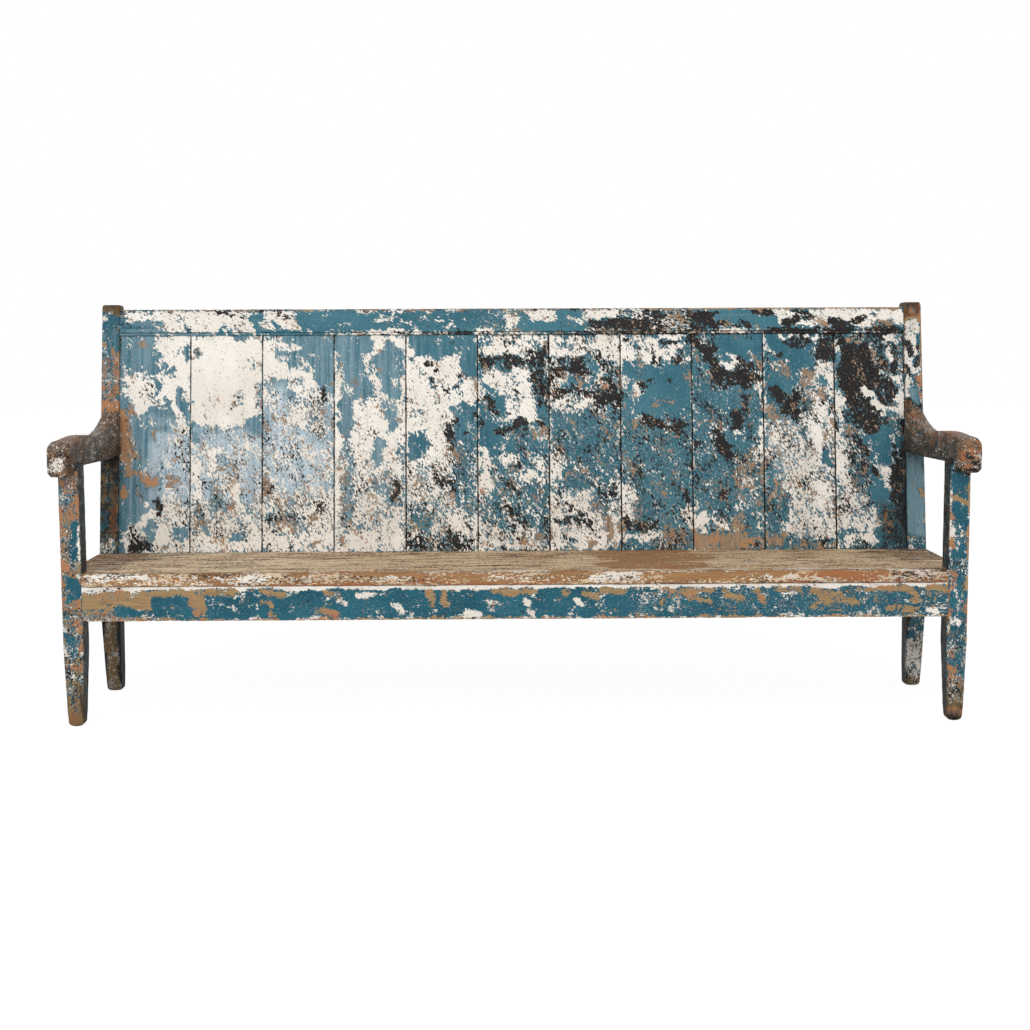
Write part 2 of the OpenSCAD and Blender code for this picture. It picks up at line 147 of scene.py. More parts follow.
# Hidden rails and bearers: the axis each runs along, 0 along the bench and 1 from front to back, the
# length of its tenons, its seed and its finish's slot
SAWN_RAILS = (
    ("rear_seat_rail", 0, TENON_L, 901, "inner_pine"),
    ("seat_bearer_left", 1, STUB_L, 910, "inner_pine"),
    ("seat_bearer_middle", 1, STUB_L, 911, "inner_pine"),
    ("seat_bearer_right", 1, STUB_L, 912, "inner_pine"),
    ("side_rail_left", 1, TENON_L, 920, "frame_paint"),
    ("side_rail_right", 1, TENON_L, 921, "frame_paint"),
)

# By side, left then right: the painted shade in the lower corner of the boards, the painted shade on a
# post below the seat, and of an arm its bare wood, how much more of it there is on top, where it is wear
# and a painted highlight, and on the nose, the bloom on its inner face, and its rust
CORNER_SHADE = {-1: 0.3, 1: 0.55}
POST_SHADE_BELOW_SEAT = {-1: 0.62, 1: 0.28}
ARM_LEVELS = {-1: (0.10, 0.08, 0.02, 0.2, 0.2), 1: (0.16, 0.26, 0.26, 0.9, 0.5)}
SIDES = {-1: "left", 1: "right"}

BOARD_PITCH = 2 * (POST_IN + BOARD_COVER) / BOARD_COUNT
HALF_BACK = BOARD_PITCH * BOARD_COUNT / 2
BACK_H = (POST_TOP - SEAT_TOP - POST_RISE) / math.cos(RAKE) - RAIL_H

# The seven amounts that a surface carries at each point. The first three are the cream coat, the black
# coat and bare wood, each half showing at 0.5. Then come pale bloom, how gritty the flakes' edges are,
# grime together with painted shade, and how much of the bare wood is stained rust-brown.
CREAM, BLACK, WOOD, BLOOM, GRIT, GRIME_AND_SHADE, RUST = range(7)
KINDS = {
    # Paint: whole, faded, worn, worn on the dark boards, worn on the apron, and pale
    "b": (0.08, -0.12, -0.06, 0.0, 0.2, 0.0, 0.1),
    "F": (0.26, -0.10, -0.05, 0.0, 0.55, 0.0, 0.3),
    "B": (0.20, 0.12, 0.00, 0.0, 0.65, 0.0, 0.1),
    "N": (0.03, 0.16, 0.00, 0.0, 0.65, 0.0, 0.1),
    "d": (0.06, -0.08, 0.08, 0.0, 0.5, 0.0, 0.1),
    "p": (0.10, -0.12, -0.06, 0.28, 0.3, 0.0, 0.1),
    # Cream: solid, and flaking
    "c": (1.02, -0.14, -0.06, 0.0, 0.2, 0.0, 0.3),
    "C": (0.92, 0.04, -0.02, 0.0, 0.5, 0.0, 0.3),
    # Black: flaking, and sooty under grime and painted shade
    "K": (0.18, 0.98, -0.04, 0.0, 0.62, 0.0, 0.2),
    "T": (0.00, 0.60, 0.06, 0.0, 0.6, 0.42, 0.3),
    # Bare wood: clean, orange, half bare, gritty orange, and under grime and painted shade
    "W": (0.14, 0.06, 0.90, 0.0, 0.55, 0.0, 0.25),
    "O": (0.10, 0.10, 0.88, 0.0, 0.65, 0.0, 1.4),
    "w": (0.14, 0.08, 0.50, 0.1, 0.8, 0.1, 0.8),
    "o": (0.16, 0.16, 0.72, 0.0, 0.85, 0.0, 1.3),
    "G": (0.06, 0.36, 0.74, 0.0, 0.6, 0.68, 0.3),
    # Bloom: thick and pale, and thin and blue-grey
    "H": (0.30, 0.08, 0.00, 0.95, 0.8, 0.0, 0.1),
    "h": (-0.10, -0.12, -0.08, 0.56, 0.2, 0.05, 0.3),
    # Coats mixed fine: cream specks, cream and black, all four, cream on wood, and two of a leg
    "S": (0.72, 0.17, 0.04, 0.4, 0.85, 0.05, 0.1),
    "M": (0.54, 0.62, 0.04, 0.0, 0.75, 0.0, 0.2),
    "D": (0.35, 0.40, 0.36, 0.1, 0.8, 0.15, 0.3),
    "Y": (0.50, 0.10, 0.72, 0.0, 0.9, 0.0, 0.5),
    "V": (0.90, 0.00, 0.60, 0.0, 0.30, 0.16, 0.0),
    "m": (0.08, 0.16, 0.36, 0.35, 0.80, 0.08, 0.45),
}

# Patches of the back, in the order they cover each other. Places are counted in boards from the left
# and as a share of the boards' height. Five values make a box: kind, left, right, foot, head.
# Six make a stroke: kind, its two ends, and half its width in millimetres. The sooty patches at the
# foot of the last board, beside the right post, are painted shade under the arm.
BACK_PATCHES = (
    ("p", 0.0, 4.1, 0.0, 1.0), ("b", 4.1, 5.0, 0.0, 1.0), ("B", 5.0, 7.0, 0.0, 1.0),
    ("N", 7.0, 9.4, 0.0, 1.0), ("B", 9.4, 11.0, 0.0, 1.0), ("h", .40, 1.0, .12, .62),
    ("H", .56, 1.0, .12, .56), ("c", .50, 1.0, .70, 1.0), ("C", .10, .50, .66, .82),
    ("b", .02, .46, .85, 1.0), ("p", .60, .85, .60, .85, 8), ("p", .72, .83, .72, .83, 9),
    ("p", .97, .95, .98, .90, 8), ("C", .37, .86, .37, .83, 5), ("W", .27, .955, .27, .95, 8),
    ("b", .55, .77, .55, .72, 10), ("b", .85, .73, 1.06, .55, 12), ("C", .80, .66, 1.0, .50, 9),
    ("p", .25, .585, .60, .575, 14), ("w", -.1, .19, .40, .68), ("O", .02, .64, .06, .44, 13),
    ("O", .12, .38, .50, .33, 15), ("O", .10, .30, .10, .26, 8), ("W", .48, .54, .50, .54, 8),
    ("W", .72, .33, .75, .33, 8), ("W", .93, .33, .93, .34, 6), ("c", .36, .235, .36, .235, 4),
    ("C", .15, 1.0, 0.0, .11), ("C", .25, .12, .60, .19, 14), ("S", .55, 1.0, .10, .24),
    ("M", .20, .10, .26, .07, 11), ("K", .27, .03, .45, .03, 10), ("b", .42, .09, .45, .07, 12),
    ("b", .80, .10, .95, .08, 12), ("W", .58, .03, .66, .03, 8), ("K", .58, .42, .57, .10, 1),
    ("c", 1.0, 2.0, .58, 1.0), ("H", 1.0, 2.0, .10, .56), ("S", 1.0, 2.0, .04, .24),
    ("S", 1.55, .64, 1.68, .72, 12), ("M", 1.60, .66, 1.66, .70, 10), ("K", 1.63, .82, 1.64, .82, 4),
    ("D", 1.88, .79, 1.88, .73, 5), ("D", 1.10, .93, 1.10, .92, 7), ("b", 1.02, .58, 1.06, .52, 8),
    ("b", 1.88, .60, 1.98, .56, 10), ("C", 1.10, .44, 1.12, .20, 7), ("C", 1.30, .46, 1.34, .34, 6),
    ("C", 1.36, .47, 1.55, .40, 8), ("W", 1.45, .385, 1.47, .385, 8), ("c", 1.62, .30, 1.72, .22, 12),
    ("c", 1.72, .22, 1.86, .12, 10), ("D", 1.33, .32, 1.33, .20, 8), ("W", 1.55, .22, 1.57, .22, 9),
    ("D", 1.10, .20, 1.20, .12, 10), ("C", 1.0, 2.0, 0.0, .07), ("b", 1.20, .10, 1.25, .09, 9),
    ("b", 1.60, .07, 1.70, .07, 9), ("H", 2.0, 3.0, .12, .76), ("p", 2.12, 3.0, .78, 1.0),
    ("c", 2.0, 2.12, .80, .97), ("C", 2.10, .965, 2.45, .94, 8), ("c", 2.05, .86, 2.70, .79, 16),
    ("b", 2.78, .80, 3.0, .76, 16), ("C", 2.36, 2.62, .58, .78), ("S", 2.62, 2.90, .52, .75),
    ("D", 2.07, .38, 2.07, .20, 7), ("S", 2.0, 3.0, .04, .28), ("D", 2.10, .16, 2.45, .15, 10),
    ("C", 2.55, .18, 2.70, .18, 9), ("C", 2.0, 3.0, 0.0, .08), ("b", 2.20, .08, 2.22, .08, 8),
    ("W", 2.65, .13, 2.65, .13, 7), ("W", 2.80, .04, 2.80, .04, 7), ("C", 3.0, 4.0, 0.0, .70),
    ("S", 3.10, 4.0, .08, .36), ("p", 3.02, 4.0, .70, 1.0), ("C", 3.02, 3.10, .70, .86),
    ("c", 3.50, 3.56, .88, 1.0), ("c", 3.55, 4.0, .95, 1.0), ("C", 3.52, 3.64, .70, .80),
    ("W", 3.08, .86, 3.08, .86, 5), ("W", 3.30, .865, 3.30, .865, 5), ("W", 3.65, .84, 3.65, .84, 6),
    ("b", 3.05, 3.20, .58, .70), ("b", 3.80, .70, 3.80, .55, 12), ("B", 3.20, .56, 3.20, .16, 12),
    ("b", 3.60, .52, 3.60, .40, 9), ("B", 3.47, .40, 3.66, .28, 12), ("B", 3.66, .28, 3.88, .20, 11),
    ("B", 3.92, .44, 3.98, .32, 11), ("K", 3.85, .32, 3.86, .24, 6), ("D", 3.10, .42, 3.10, .42, 9),
    ("D", 3.15, .32, 3.15, .32, 9), ("W", 3.18, .25, 3.18, .25, 8), ("D", 3.20, .14, 3.20, .14, 9),
    ("W", 3.12, .05, 3.12, .05, 8), ("B", 3.15, .10, 3.15, .10, 8), ("B", 3.45, .12, 3.45, .12, 8),
    ("C", 4.0, 5.0, 0.0, 1.0), ("b", 4.08, 5.0, .90, 1.0), ("b", 4.75, 5.0, .80, .95),
    ("S", 4.0, 5.0, .05, .40), ("K", 4.30, .86, 4.31, .86, 7), ("K", 4.35, .78, 4.35, .78, 6),
    ("K", 4.75, .78, 4.75, .78, 7), ("b", 4.64, 5.0, .50, .68), ("b", 4.03, 4.30, .42, .56),
    ("B", 4.62, 5.0, .18, .50), ("M", 4.52, 4.70, .38, .62), ("K", 4.95, .63, 4.95, .63, 7),
    ("K", 4.85, .53, 4.85, .53, 7), ("K", 4.45, .35, 4.45, .35, 7), ("K", 4.50, .34, 4.65, .28, 8),
    ("B", 4.02, 4.40, .10, .22), ("C", 4.40, .46, 4.40, .46, 12), ("C", 4.07, .38, 4.08, .34, 9),
    ("W", 4.10, .325, 4.10, .325, 8), ("C", 4.22, .22, 4.22, .22, 10), ("C", 4.38, .26, 4.38, .26, 10),
    ("C", 4.50, .16, 4.90, .12, 12), ("M", 4.0, 5.0, 0.0, .08), ("W", 4.62, .25, 4.62, .25, 8),
    ("W", 4.75, .29, 4.75, .29, 8), ("W", 4.90, .20, 4.90, .20, 9), ("D", 4.05, .15, 4.05, .08, 7),
    ("C", 5.06, 6.0, .90, 1.0), ("B", 5.20, .97, 5.20, .97, 8), ("M", 5.60, 6.0, .70, .92),
    ("B", 5.50, .95, 5.50, .95, 8), ("K", 5.05, 5.60, .84, .91), ("W", 5.68, .85, 5.68, .85, 10),
    ("K", 5.93, .95, 5.95, .70, 10), ("C", 5.08, 5.72, .70, .84), ("K", 5.78, .80, 5.86, .68, 11),
    ("K", 5.10, .69, 5.30, .64, 10), ("b", 5.10, .77, 5.40, .66, 9), ("C", 5.42, 5.82, .60, .70),
    ("b", 5.05, 5.48, .44, .60), ("K", 5.30, .55, 5.80, .60, 9), ("W", 5.90, .56, 5.90, .56, 8),
    ("W", 5.78, .53, 5.78, .53, 7), ("C", 5.10, .47, 5.12, .28, 10), ("C", 5.30, .42, 5.58, .42, 11),
    ("C", 5.30, .34, 5.30, .34, 9), ("C", 5.72, .36, 5.95, .33, 12), ("M", 5.46, .30, 5.56, .30, 14),
    ("S", 5.0, 6.0, 0.0, .10), ("K", 5.40, .19, 5.72, .14, 5), ("M", 5.35, .20, 5.70, .13, 11),
    ("K", 5.35, .02, 5.35, .02, 9), ("K", 5.95, .13, 5.95, .13, 8), ("W", 5.10, .28, 5.10, .28, 8),
    ("W", 5.85, .26, 5.85, .26, 8), ("W", 5.10, .03, 5.10, .03, 9), ("W", 5.60, .04, 5.60, .04, 9),
    ("W", 5.85, .07, 5.85, .07, 9), ("C", 6.0, 7.0, .88, 1.0), ("M", 6.0, 7.0, .65, .90),
    ("B", 6.25, .95, 6.25, .95, 8), ("K", 6.08, .88, 6.42, .84, 11), ("K", 6.62, .73, 6.92, .72, 13),
    ("b", 6.62, .87, 6.70, .84, 10), ("b", 6.10, .77, 6.58, .77, 11), ("W", 6.45, .76, 6.45, .76, 7),
    ("C", 6.12, .69, 6.66, .68, 9), ("N", 6.03, 7.0, .30, .63), ("W", 6.78, .60, 6.78, .60, 8),
    ("W", 6.30, .35, 6.30, .35, 7), ("W", 6.45, .38, 6.45, .38, 7), ("C", 6.02, 6.22, .33, .45),
    ("K", 6.38, .41, 6.38, .41, 8), ("S", 6.0, 7.0, .04, .28), ("M", 6.60, 6.95, .18, .32),
    ("M", 6.10, .13, 6.50, .13, 9), ("K", 6.12, .125, 6.45, .145, 4), ("C", 6.0, 7.0, 0.0, .08),
    ("K", 6.35, .05, 6.35, .05, 9), ("W", 6.80, .20, 6.80, .05, 8), ("W", 6.60, .03, 6.60, .03, 8),
    ("W", 6.98, .10, 6.98, .10, 8), ("C", 7.0, 7.92, .87, 1.0), ("b", 7.05, 8.0, .62, .86),
    ("K", 7.15, .97, 7.15, .97, 8), ("K", 7.25, .94, 7.25, .94, 8), ("K", 7.55, .96, 7.85, .96, 7),
    ("K", 7.40, .92, 7.45, .88, 7), ("K", 7.60, .87, 7.60, .87, 7), ("K", 7.83, .91, 7.83, .86, 8),
    ("K", 7.65, .78, 7.65, .78, 8), ("K", 7.40, .77, 7.40, .77, 8), ("C", 7.10, .78, 7.10, .78, 9),
    ("C", 7.30, .75, 7.30, .75, 9), ("W", 7.45, .68, 7.70, .68, 4), ("W", 7.80, .77, 7.80, .77, 5),
    ("W", 7.20, .60, 7.20, .60, 5), ("W", 7.65, .52, 7.80, .52, 5), ("W", 7.25, .47, 7.25, .47, 5),
    ("W", 7.60, .42, 7.60, .42, 5), ("W", 7.27, .34, 7.27, .34, 5), ("W", 7.60, .27, 7.60, .27, 5),
    ("K", 7.30, .60, 7.85, .57, 10), ("K", 7.35, .51, 7.35, .51, 7), ("K", 7.40, .36, 7.40, .36, 7),
    ("K", 7.86, .30, 7.93, .18, 5), ("N", 7.70, .24, 7.80, .19, 9), ("K", 7.70, .19, 7.72, .17, 5),
    ("C", 7.02, 7.14, .15, .30), ("M", 7.05, .13, 7.40, .10, 11), ("K", 7.10, .13, 7.34, .10, 6),
    ("C", 7.10, .06, 7.50, .06, 12), ("D", 7.50, 8.0, 0.0, .10), ("C", 7.90, .18, 8.02, .08, 9),
    ("b", 8.40, 9.0, .88, 1.0), ("K", 8.03, .98, 8.26, .94, 14), ("K", 8.18, .92, 8.38, .82, 18),
    ("K", 8.36, .80, 8.84, .80, 20), ("K", 8.62, .90, 8.80, .84, 13), ("C", 8.50, .90, 8.62, .86, 7),
    ("K", 8.80, .70, 8.62, .58, 12), ("W", 8.68, .64, 8.68, .64, 7), ("K", 8.30, .56, 8.30, .56, 9),
    ("D", 8.25, .65, 8.25, .65, 9), ("K", 8.38, .54, 8.50, .42, 16), ("K", 8.45, .28, 8.45, .26, 9),
    ("K", 8.07, .48, 8.07, .48, 7), ("D", 8.60, 8.92, .30, .46), ("C", 8.95, .60, 8.95, .48, 5),
    ("B", 8.50, 9.0, .10, .30), ("W", 8.62, .29, 8.88, .29, 7), ("W", 8.85, .47, 8.85, .47, 7),
    ("W", 8.65, .15, 8.68, .11, 12), ("C", 8.08, .18, 8.12, .10, 9), ("C", 8.30, .15, 8.45, .09, 9),
    ("C", 8.60, .08, 8.62, .05, 9), ("C", 8.90, .12, 8.92, .10, 9), ("W", 8.0, 9.0, 0.0, .075),
    ("K", 8.87, .03, 8.87, .03, 7), ("b", 9.03, 9.70, .74, 1.0), ("N", 9.03, 9.50, .08, .32),
    ("H", 9.08, 9.60, .42, .60), ("c", 9.25, .985, 9.70, .985, 7), ("K", 9.25, .96, 9.65, .96, 7),
    ("K", 9.16, .915, 9.20, .915, 7), ("D", 9.05, .86, 9.30, .84, 8), ("D", 9.30, .85, 9.34, .82, 14),
    ("W", 9.04, .85, 9.05, .74, 4), ("D", 9.50, 9.76, .58, .84), ("W", 9.58, .82, 9.64, .79, 8),
    ("K", 9.77, 10.0, .86, 1.0), ("C", 9.74, 9.98, .77, .86), ("b", 9.82, .77, 9.84, .76, 9),
    ("C", 9.70, 9.99, .58, .74), ("W", 9.78, .715, 9.86, .715, 13), ("K", 9.18, .73, 9.32, .66, 16),
    ("K", 9.38, .70, 9.48, .64, 14), ("W", 9.07, .65, 9.12, .63, 8), ("S", 9.10, 9.99, .30, .58),
    ("c", 9.74, .58, 9.76, .46, 10), ("b", 9.86, 9.99, .33, .47), ("D", 9.58, .56, 9.60, .46, 11),
    ("S", 9.40, 9.99, .05, .38), ("S", 9.50, 9.95, .12, .36), ("C", 9.72, .30, 9.84, .20, 12),
    ("C", 9.32, .28, 9.38, .24, 13), ("C", 9.30, .16, 9.38, .10, 10), ("W", 9.12, .32, 9.14, .24, 9),
    ("C", 9.70, .16, 9.90, .08, 14), ("W", 9.10, .04, 9.25, .06, 12), ("W", 9.50, .03, 9.55, .04, 12),
    ("K", 9.78, .04, 9.85, .045, 8), ("D", 9.0, 10.0, 0.0, .02), ("K", 10.02, 10.74, .56, 1.0),
    ("W", 10.12, .975, 10.42, .975, 6), ("D", 10.50, .96, 10.54, .88, 9),
    ("C", 10.75, .98, 10.90, .97, 9), ("C", 10.03, .97, 10.06, .88, 5), ("c", 10.77, .92, 10.82, .80, 8),
    ("K", 10.80, 10.95, .80, .95), ("C", 10.68, .80, 10.90, .80, 8), ("K", 10.78, .78, 10.80, .70, 12),
    ("c", 10.86, 10.99, .60, .80), ("c", 10.43, .735, 10.72, .65, 7), ("c", 10.72, .64, 10.92, .63, 11),
    ("C", 10.05, .72, 10.10, .46, 9), ("b", 10.45, 11.0, .02, .56), ("D", 10.12, 10.42, .20, .56),
    ("K", 10.25, .62, 10.50, .56, 16), ("K", 10.35, .52, 10.42, .44, 10),
    ("c", 10.84, .57, 10.86, .51, 7), ("K", 10.78, .47, 10.79, .44, 5), ("K", 10.74, 10.98, .16, .38),
    ("C", 10.72, .36, 10.73, .30, 7), ("C", 10.06, .43, 10.16, .30, 12),
    ("D", 10.42, .38, 10.45, .30, 10), ("K", 10.55, .38, 10.60, .33, 6), ("K", 10.30, .22, 10.58, .20, 9),
    ("S", 10.05, 10.40, .08, .28), ("C", 10.15, .14, 10.32, .12, 13), ("c", 10.50, .17, 10.65, .11, 15),
    ("b", 10.10, .085, 10.60, .08, 8), ("C", 10.08, .04, 10.52, .05, 10), ("T", 10.60, 11.0, 0.0, .22),
    ("T", 10.85, 11.1, .15, .58), ("T", 10.2, 11.0, 0.0, .015),
)

# Patches of the top rail: boards from the left, and a share of the rail's height
RAIL_PATCHES = (
    ("b", -.1, 11.1, -.2, 1.2), ("p", -.1, 1.4, -.2, 1.2), ("B", -.05, .12, 0.0, 1.0),
    ("C", .10, .62, .55, .95), ("C", .62, 1.86, .12, .98), ("B", .93, .30, .97, .20, 7),
    ("b", 1.45, .28, 1.46, .2, 8), ("b", 1.58, .22, 1.6, .2, 7), ("K", 1.42, .94, 1.50, .92, 4),
    ("K", 1.80, .95, 2.30, .93, 4), ("b", 1.86, 1.98, .10, .75), ("C", 1.97, 2.50, .20, .95),
    ("b", 2.20, .50, 2.22, .35, 9), ("C", 3.35, .90, 3.50, .88, 5), ("C", 3.60, .50, 3.62, .5, 7),
    ("C", 3.55, .12, 3.95, .12, 6), ("B", 5.0, 5.6, .10, .95), ("C", 4.3, .88, 4.4, .9, 3),
    ("C", 4.6, .3, 4.62, .4, 3), ("C", 5.10, .15, 5.20, .15, 7), ("C", 5.40, 5.60, .30, .70),
    ("C", 5.72, 6.10, .50, .95), ("C", 6.30, .62, 6.45, .50, 8), ("M", 6.50, 8.0, .10, 1.0),
    ("C", 6.50, 7.0, .60, .95), ("K", 6.60, .40, 7.40, .36, 14), ("K", 7.95, 8.38, .10, .85),
    ("W", 6.10, .04, 6.2, .04, 5), ("W", 6.80, .04, 6.9, .04, 5), ("W", 7.20, .04, 7.3, .04, 5),
    ("K", 8.40, .38, 8.80, .28, 8), ("K", 8.85, .86, 9.18, .78, 8), ("W", 8.90, .24, 8.92, .22, 5),
    ("C", 9.22, 10.98, .30, .92), ("K", 9.34, .42, 9.50, .60, 9), ("K", 9.45, .90, 9.62, .80, 7),
    ("K", 9.60, .60, 9.68, .66, 7), ("K", 10.02, .42, 10.14, .3, 13), ("K", 10.24, .35, 10.42, .55, 9),
    ("K", 10.5, .72, 10.6, .68, 5), ("W", 9.82, .40, 9.88, .35, 7), ("D", 10.60, .28, 10.8, .36, 10),
    ("K", 8.95, 10.95, .10, .22), ("M", 3.4, 6.6, -.05, .08), ("K", 6.4, 11.1, -.05, .09),
    ("p", -.1, 1.0, -.05, .08), ("D", 7.1, 9.2, .05, .10), ("W", 7.1, .99, 11.1, .99, 3),
    ("D", -.1, .985, 7.1, .985, 3),
)

# Patches of the apron: boards from the left, and a share of the apron's height
APRON_PATCHES = (
    ("b", -.2, 11.2, -.2, 1.2), ("W", .05, .95, .34, 1.0), ("m", .05, 1.0, 0.0, .34),
    ("b", .55, .3, .95, .22, 10), ("W", .95, .85, 1.45, .85, 11), ("b", 1.02, 1.42, .1, .62),
    ("W", 1.45, 1.62, .15, .9), ("W", 1.62, .8, 2.0, .85, 9), ("W", 2.40, .5, 2.46, .2, 9),
    ("W", 2.3, .82, 2.6, .72, 7), ("W", 3.06, .3, 3.22, .18, 10), ("W", 3.1, .82, 3.3, .72, 7),
    ("c", 3.52, .70, 3.72, .74, 5), ("C", 3.3, .55, 3.34, .5, 4), ("C", 3.98, .42, 4.02, .25, 6),
    ("W", 4.42, .8, 4.46, .4, 7), ("W", 4.58, .8, 4.6, .45, 6), ("c", 4.80, .08, 5.02, .18, 8),
    ("W", 5.25, .82, 5.75, .8, 8), ("C", 5.18, .55, 5.30, .3, 5), ("c", 5.60, .48, 5.64, .44, 6),
    ("C", 5.66, .25, 5.70, .1, 4), ("W", 6.08, .78, 6.15, .78, 6), ("c", 6.25, .52, 6.26, .38, 4),
    ("W", 6.34, .7, 6.52, .62, 6), ("W", 6.58, .82, 6.92, .78, 8), ("W", 7.0, .82, 7.06, .78, 6),
    ("d", 6.9, 11.0, .1, .95), ("W", 7.32, .82, 7.5, .84, 7), ("W", 7.3, .5, 7.36, .48, 6),
    ("W", 7.62, .8, 7.95, .84, 6), ("W", 7.7, .6, 7.9, .5, 5), ("W", 8.12, .75, 8.32, .6, 7),
    ("W", 8.5, .82, 8.62, .45, 9), ("W", 8.75, .84, 9.05, .82, 7), ("c", 8.75, .72, 8.98, .70, 2),
    ("W", 9.20, .35, 9.28, .4, 8), ("W", 9.25, .8, 9.5, .66, 10), ("W", 9.35, .55, 9.72, .45, 9),
    ("W", 9.78, .84, 10.4, .84, 8), ("W", 10.44, .75, 10.52, .5, 10), ("W", 10.2, .26, 10.5, .22, 8),
    ("W", 10.6, .85, 10.9, .8, 7), ("c", 10.66, .2, 10.76, .2, 6), ("c", -.1, 11.1, .91, 1.1),
    ("c", 2.5, .93, 3.1, .93, 3), ("c", 4.2, .93, 5.1, .92, 3), ("c", 9.0, .94, 10.0, .92, 3),
    ("C", .05, .9, .80, .9, 4), ("Y", -.1, 11.1, -.1, .05), ("W", 8.12, .03, 8.28, .03, 5),
    ("D", .05, .02, .45, .02, 3),
)

# Patches of the seat: boards from the left, and millimetres back from the front edge, less than zero
# down its face
SEAT_PATCHES = (
    ("w", -.2, 11.2, -40, 26), ("D", -.2, 11.2, -30, 16), ("Y", .1, 12, 1.0, 10, 8),
    ("C", .2, -4, .9, -6, 7), ("Y", .3, -22, 1.9, -24, 6), ("Y", 4.3, 5.5, -30, 14),
    ("K", .55, 6, .7, 2, 4), ("K", .3, 14, .5, 10, 3), ("W", 1.05, 22, 1.35, 20, 8),
    ("W", 1.4, 18, 1.75, 14, 9), ("Y", 1.0, 30, 3.2, 30, 4), ("C", 1.8, -14, 2.4, -12, 5),
    ("W", 2.3, 12, 3.4, 8, 9), ("C", 2.2, 4, 2.7, 2, 4), ("C", 2.9, 16, 3.3, 12, 4),
    ("Y", 3.2, 28, 4.4, 30, 5), ("W", 3.5, 4, 4.3, 0, 9), ("C", 3.8, -18, 4.2, -14, 4),
    ("S", 4.3, 5.9, 6, 30), ("W", 4.6, -14, 5.1, -12, 9), ("Y", 5.2, -20, 6.3, -22, 5),
    ("W", 6.0, 8, 6.9, 2, 12), ("C", 6.4, -14, 7.2, -4, 8), ("W", 7.1, -12, 8.4, -16, 12),
    ("C", 7.2, 16, 7.5, 14, 4), ("C", 7.7, 38, 8.4, 34, 8), ("W", 8.3, -4, 10.1, -10, 12),
    ("C", 8.8, 40, 10.2, 36, 9), ("C", 8.6, -20, 9.4, -22, 3), ("C", 10.2, 8, 10.9, 2, 9),
    ("K", 10.6, 14, 10.95, 10, 6), ("K", 10.75, -4, 10.9, -2, 4), ("W", 6.9, 130, 7.6, 120, 80),
    ("W", 7.0, 300, 7.75, 290, 90), ("W", 6.8, 450, 7.6, 440, 70), ("D", -.2, .45, 60, 520),
    ("D", 10.6, 11.3, 200, 520),
)

# Patches of the front faces of the legs: from -1 at the left edge to 1, and millimetres above the
# floor
LEFT_LEG_PATCHES = (
    ("m", -1.2, 1.2, -20, 680), ("w", -.6, 640, .8, 636, 9), ("F", -.7, 610, 0, 590, 6),
    ("o", .7, 630, .9, 560, 5), ("w", .1, .9, 540, 590), ("o", -1, 560, -.9, 380, 4),
    ("o", -.8, 520, -.2, 500, 8), ("b", .1, 1, 440, 545), ("C", .95, 530, .9, 440, 1),
    ("o", -.5, 470, -.2, 450, 8), ("o", -.7, 428, .1, 405, 11), ("C", .7, 405, .9, 395, 4),
    ("b", -.5, 1, 325, 392), ("W", -.5, 352, .2, 346, 3), ("o", .5, 330, .9, 290, 6),
    ("o", -1, 330, -1, 200, 3), ("D", -1, .4, 285, 312), ("m", -.7, .9, 222, 292),
    ("o", .1, 285, .6, 255, 7), ("C", -.8, 262, -.8, 250, 3), ("b", -.5, 236, -.1, 230, 7),
    ("o", .8, 225, .5, 190, 6), ("C", -.9, 215, -.6, 170, 3), ("F", 0, 205, .1, 190, 8),
    ("C", .9, 200, .9, 190, 3), ("D", -1, 1, 120, 185), ("o", -.4, 165, .6, 155, 7),
    ("W", -1, 1, -10, 125), ("C", 0, 138, -.2, 60, 4), ("D", -.5, .3, 60, 120), ("G", .7, 110, 1, 20, 5),
    ("G", -1, 100, -1, 20, 5), ("W", -.6, .6, -20, 40),
)
RIGHT_LEG_PATCHES = (
    ("b", -1.2, 1.2, -20, 680), ("K", -1, 662, 1, 658, 4), ("W", 1, 640, 1, 590, 3),
    ("W", -.9, 592, .9, 574, 6), ("C", -1, 640, -1, 430, 1), ("o", -.9, 545, -.7, 530, 6),
    ("c", -.8, 505, -.7, 480, 3), ("o", -.8, 480, -.7, 464, 4), ("W", .9, 500, .95, 440, 3),
    ("o", 1, 560, 1, 330, 3), ("W", .7, 430, .9, 405, 5), ("W", -.3, 452, .4, 452, 1),
    ("B", -1, 1, 388, 435), ("o", -.9, -.2, 340, 398), ("W", .5, 1.1, 350, 386), ("b", -1, 1, 328, 345),
    ("W", .3, 320, .5, 300, 4), ("o", .95, 320, .95, 150, 5), ("o", -1, 345, -.9, 250, 5),
    ("C", -.6, 264, -.3, 256, 2), ("C", .1, 268, .2, 256, 2), ("K", -1.1, 260, -1.1, 20, 5),
    ("c", .8, 225, .8, 195, 1), ("B", -1, .9, 100, 240), ("C", -.5, 195, -.2, 186, 2),
    ("o", -.6, 180, -.3, 172, 5), ("C", -.5, 160, .5, 166, 1), ("o", -.8, 0, 95, 145),
    ("m", .1, 1, 50, 118), ("D", -.9, 1, 45, 100), ("S", -.3, 88, .3, 80, 5), ("G", -1.2, 1.2, -20, 46),
    ("o", -.5, 30, .5, 26, 8),
)
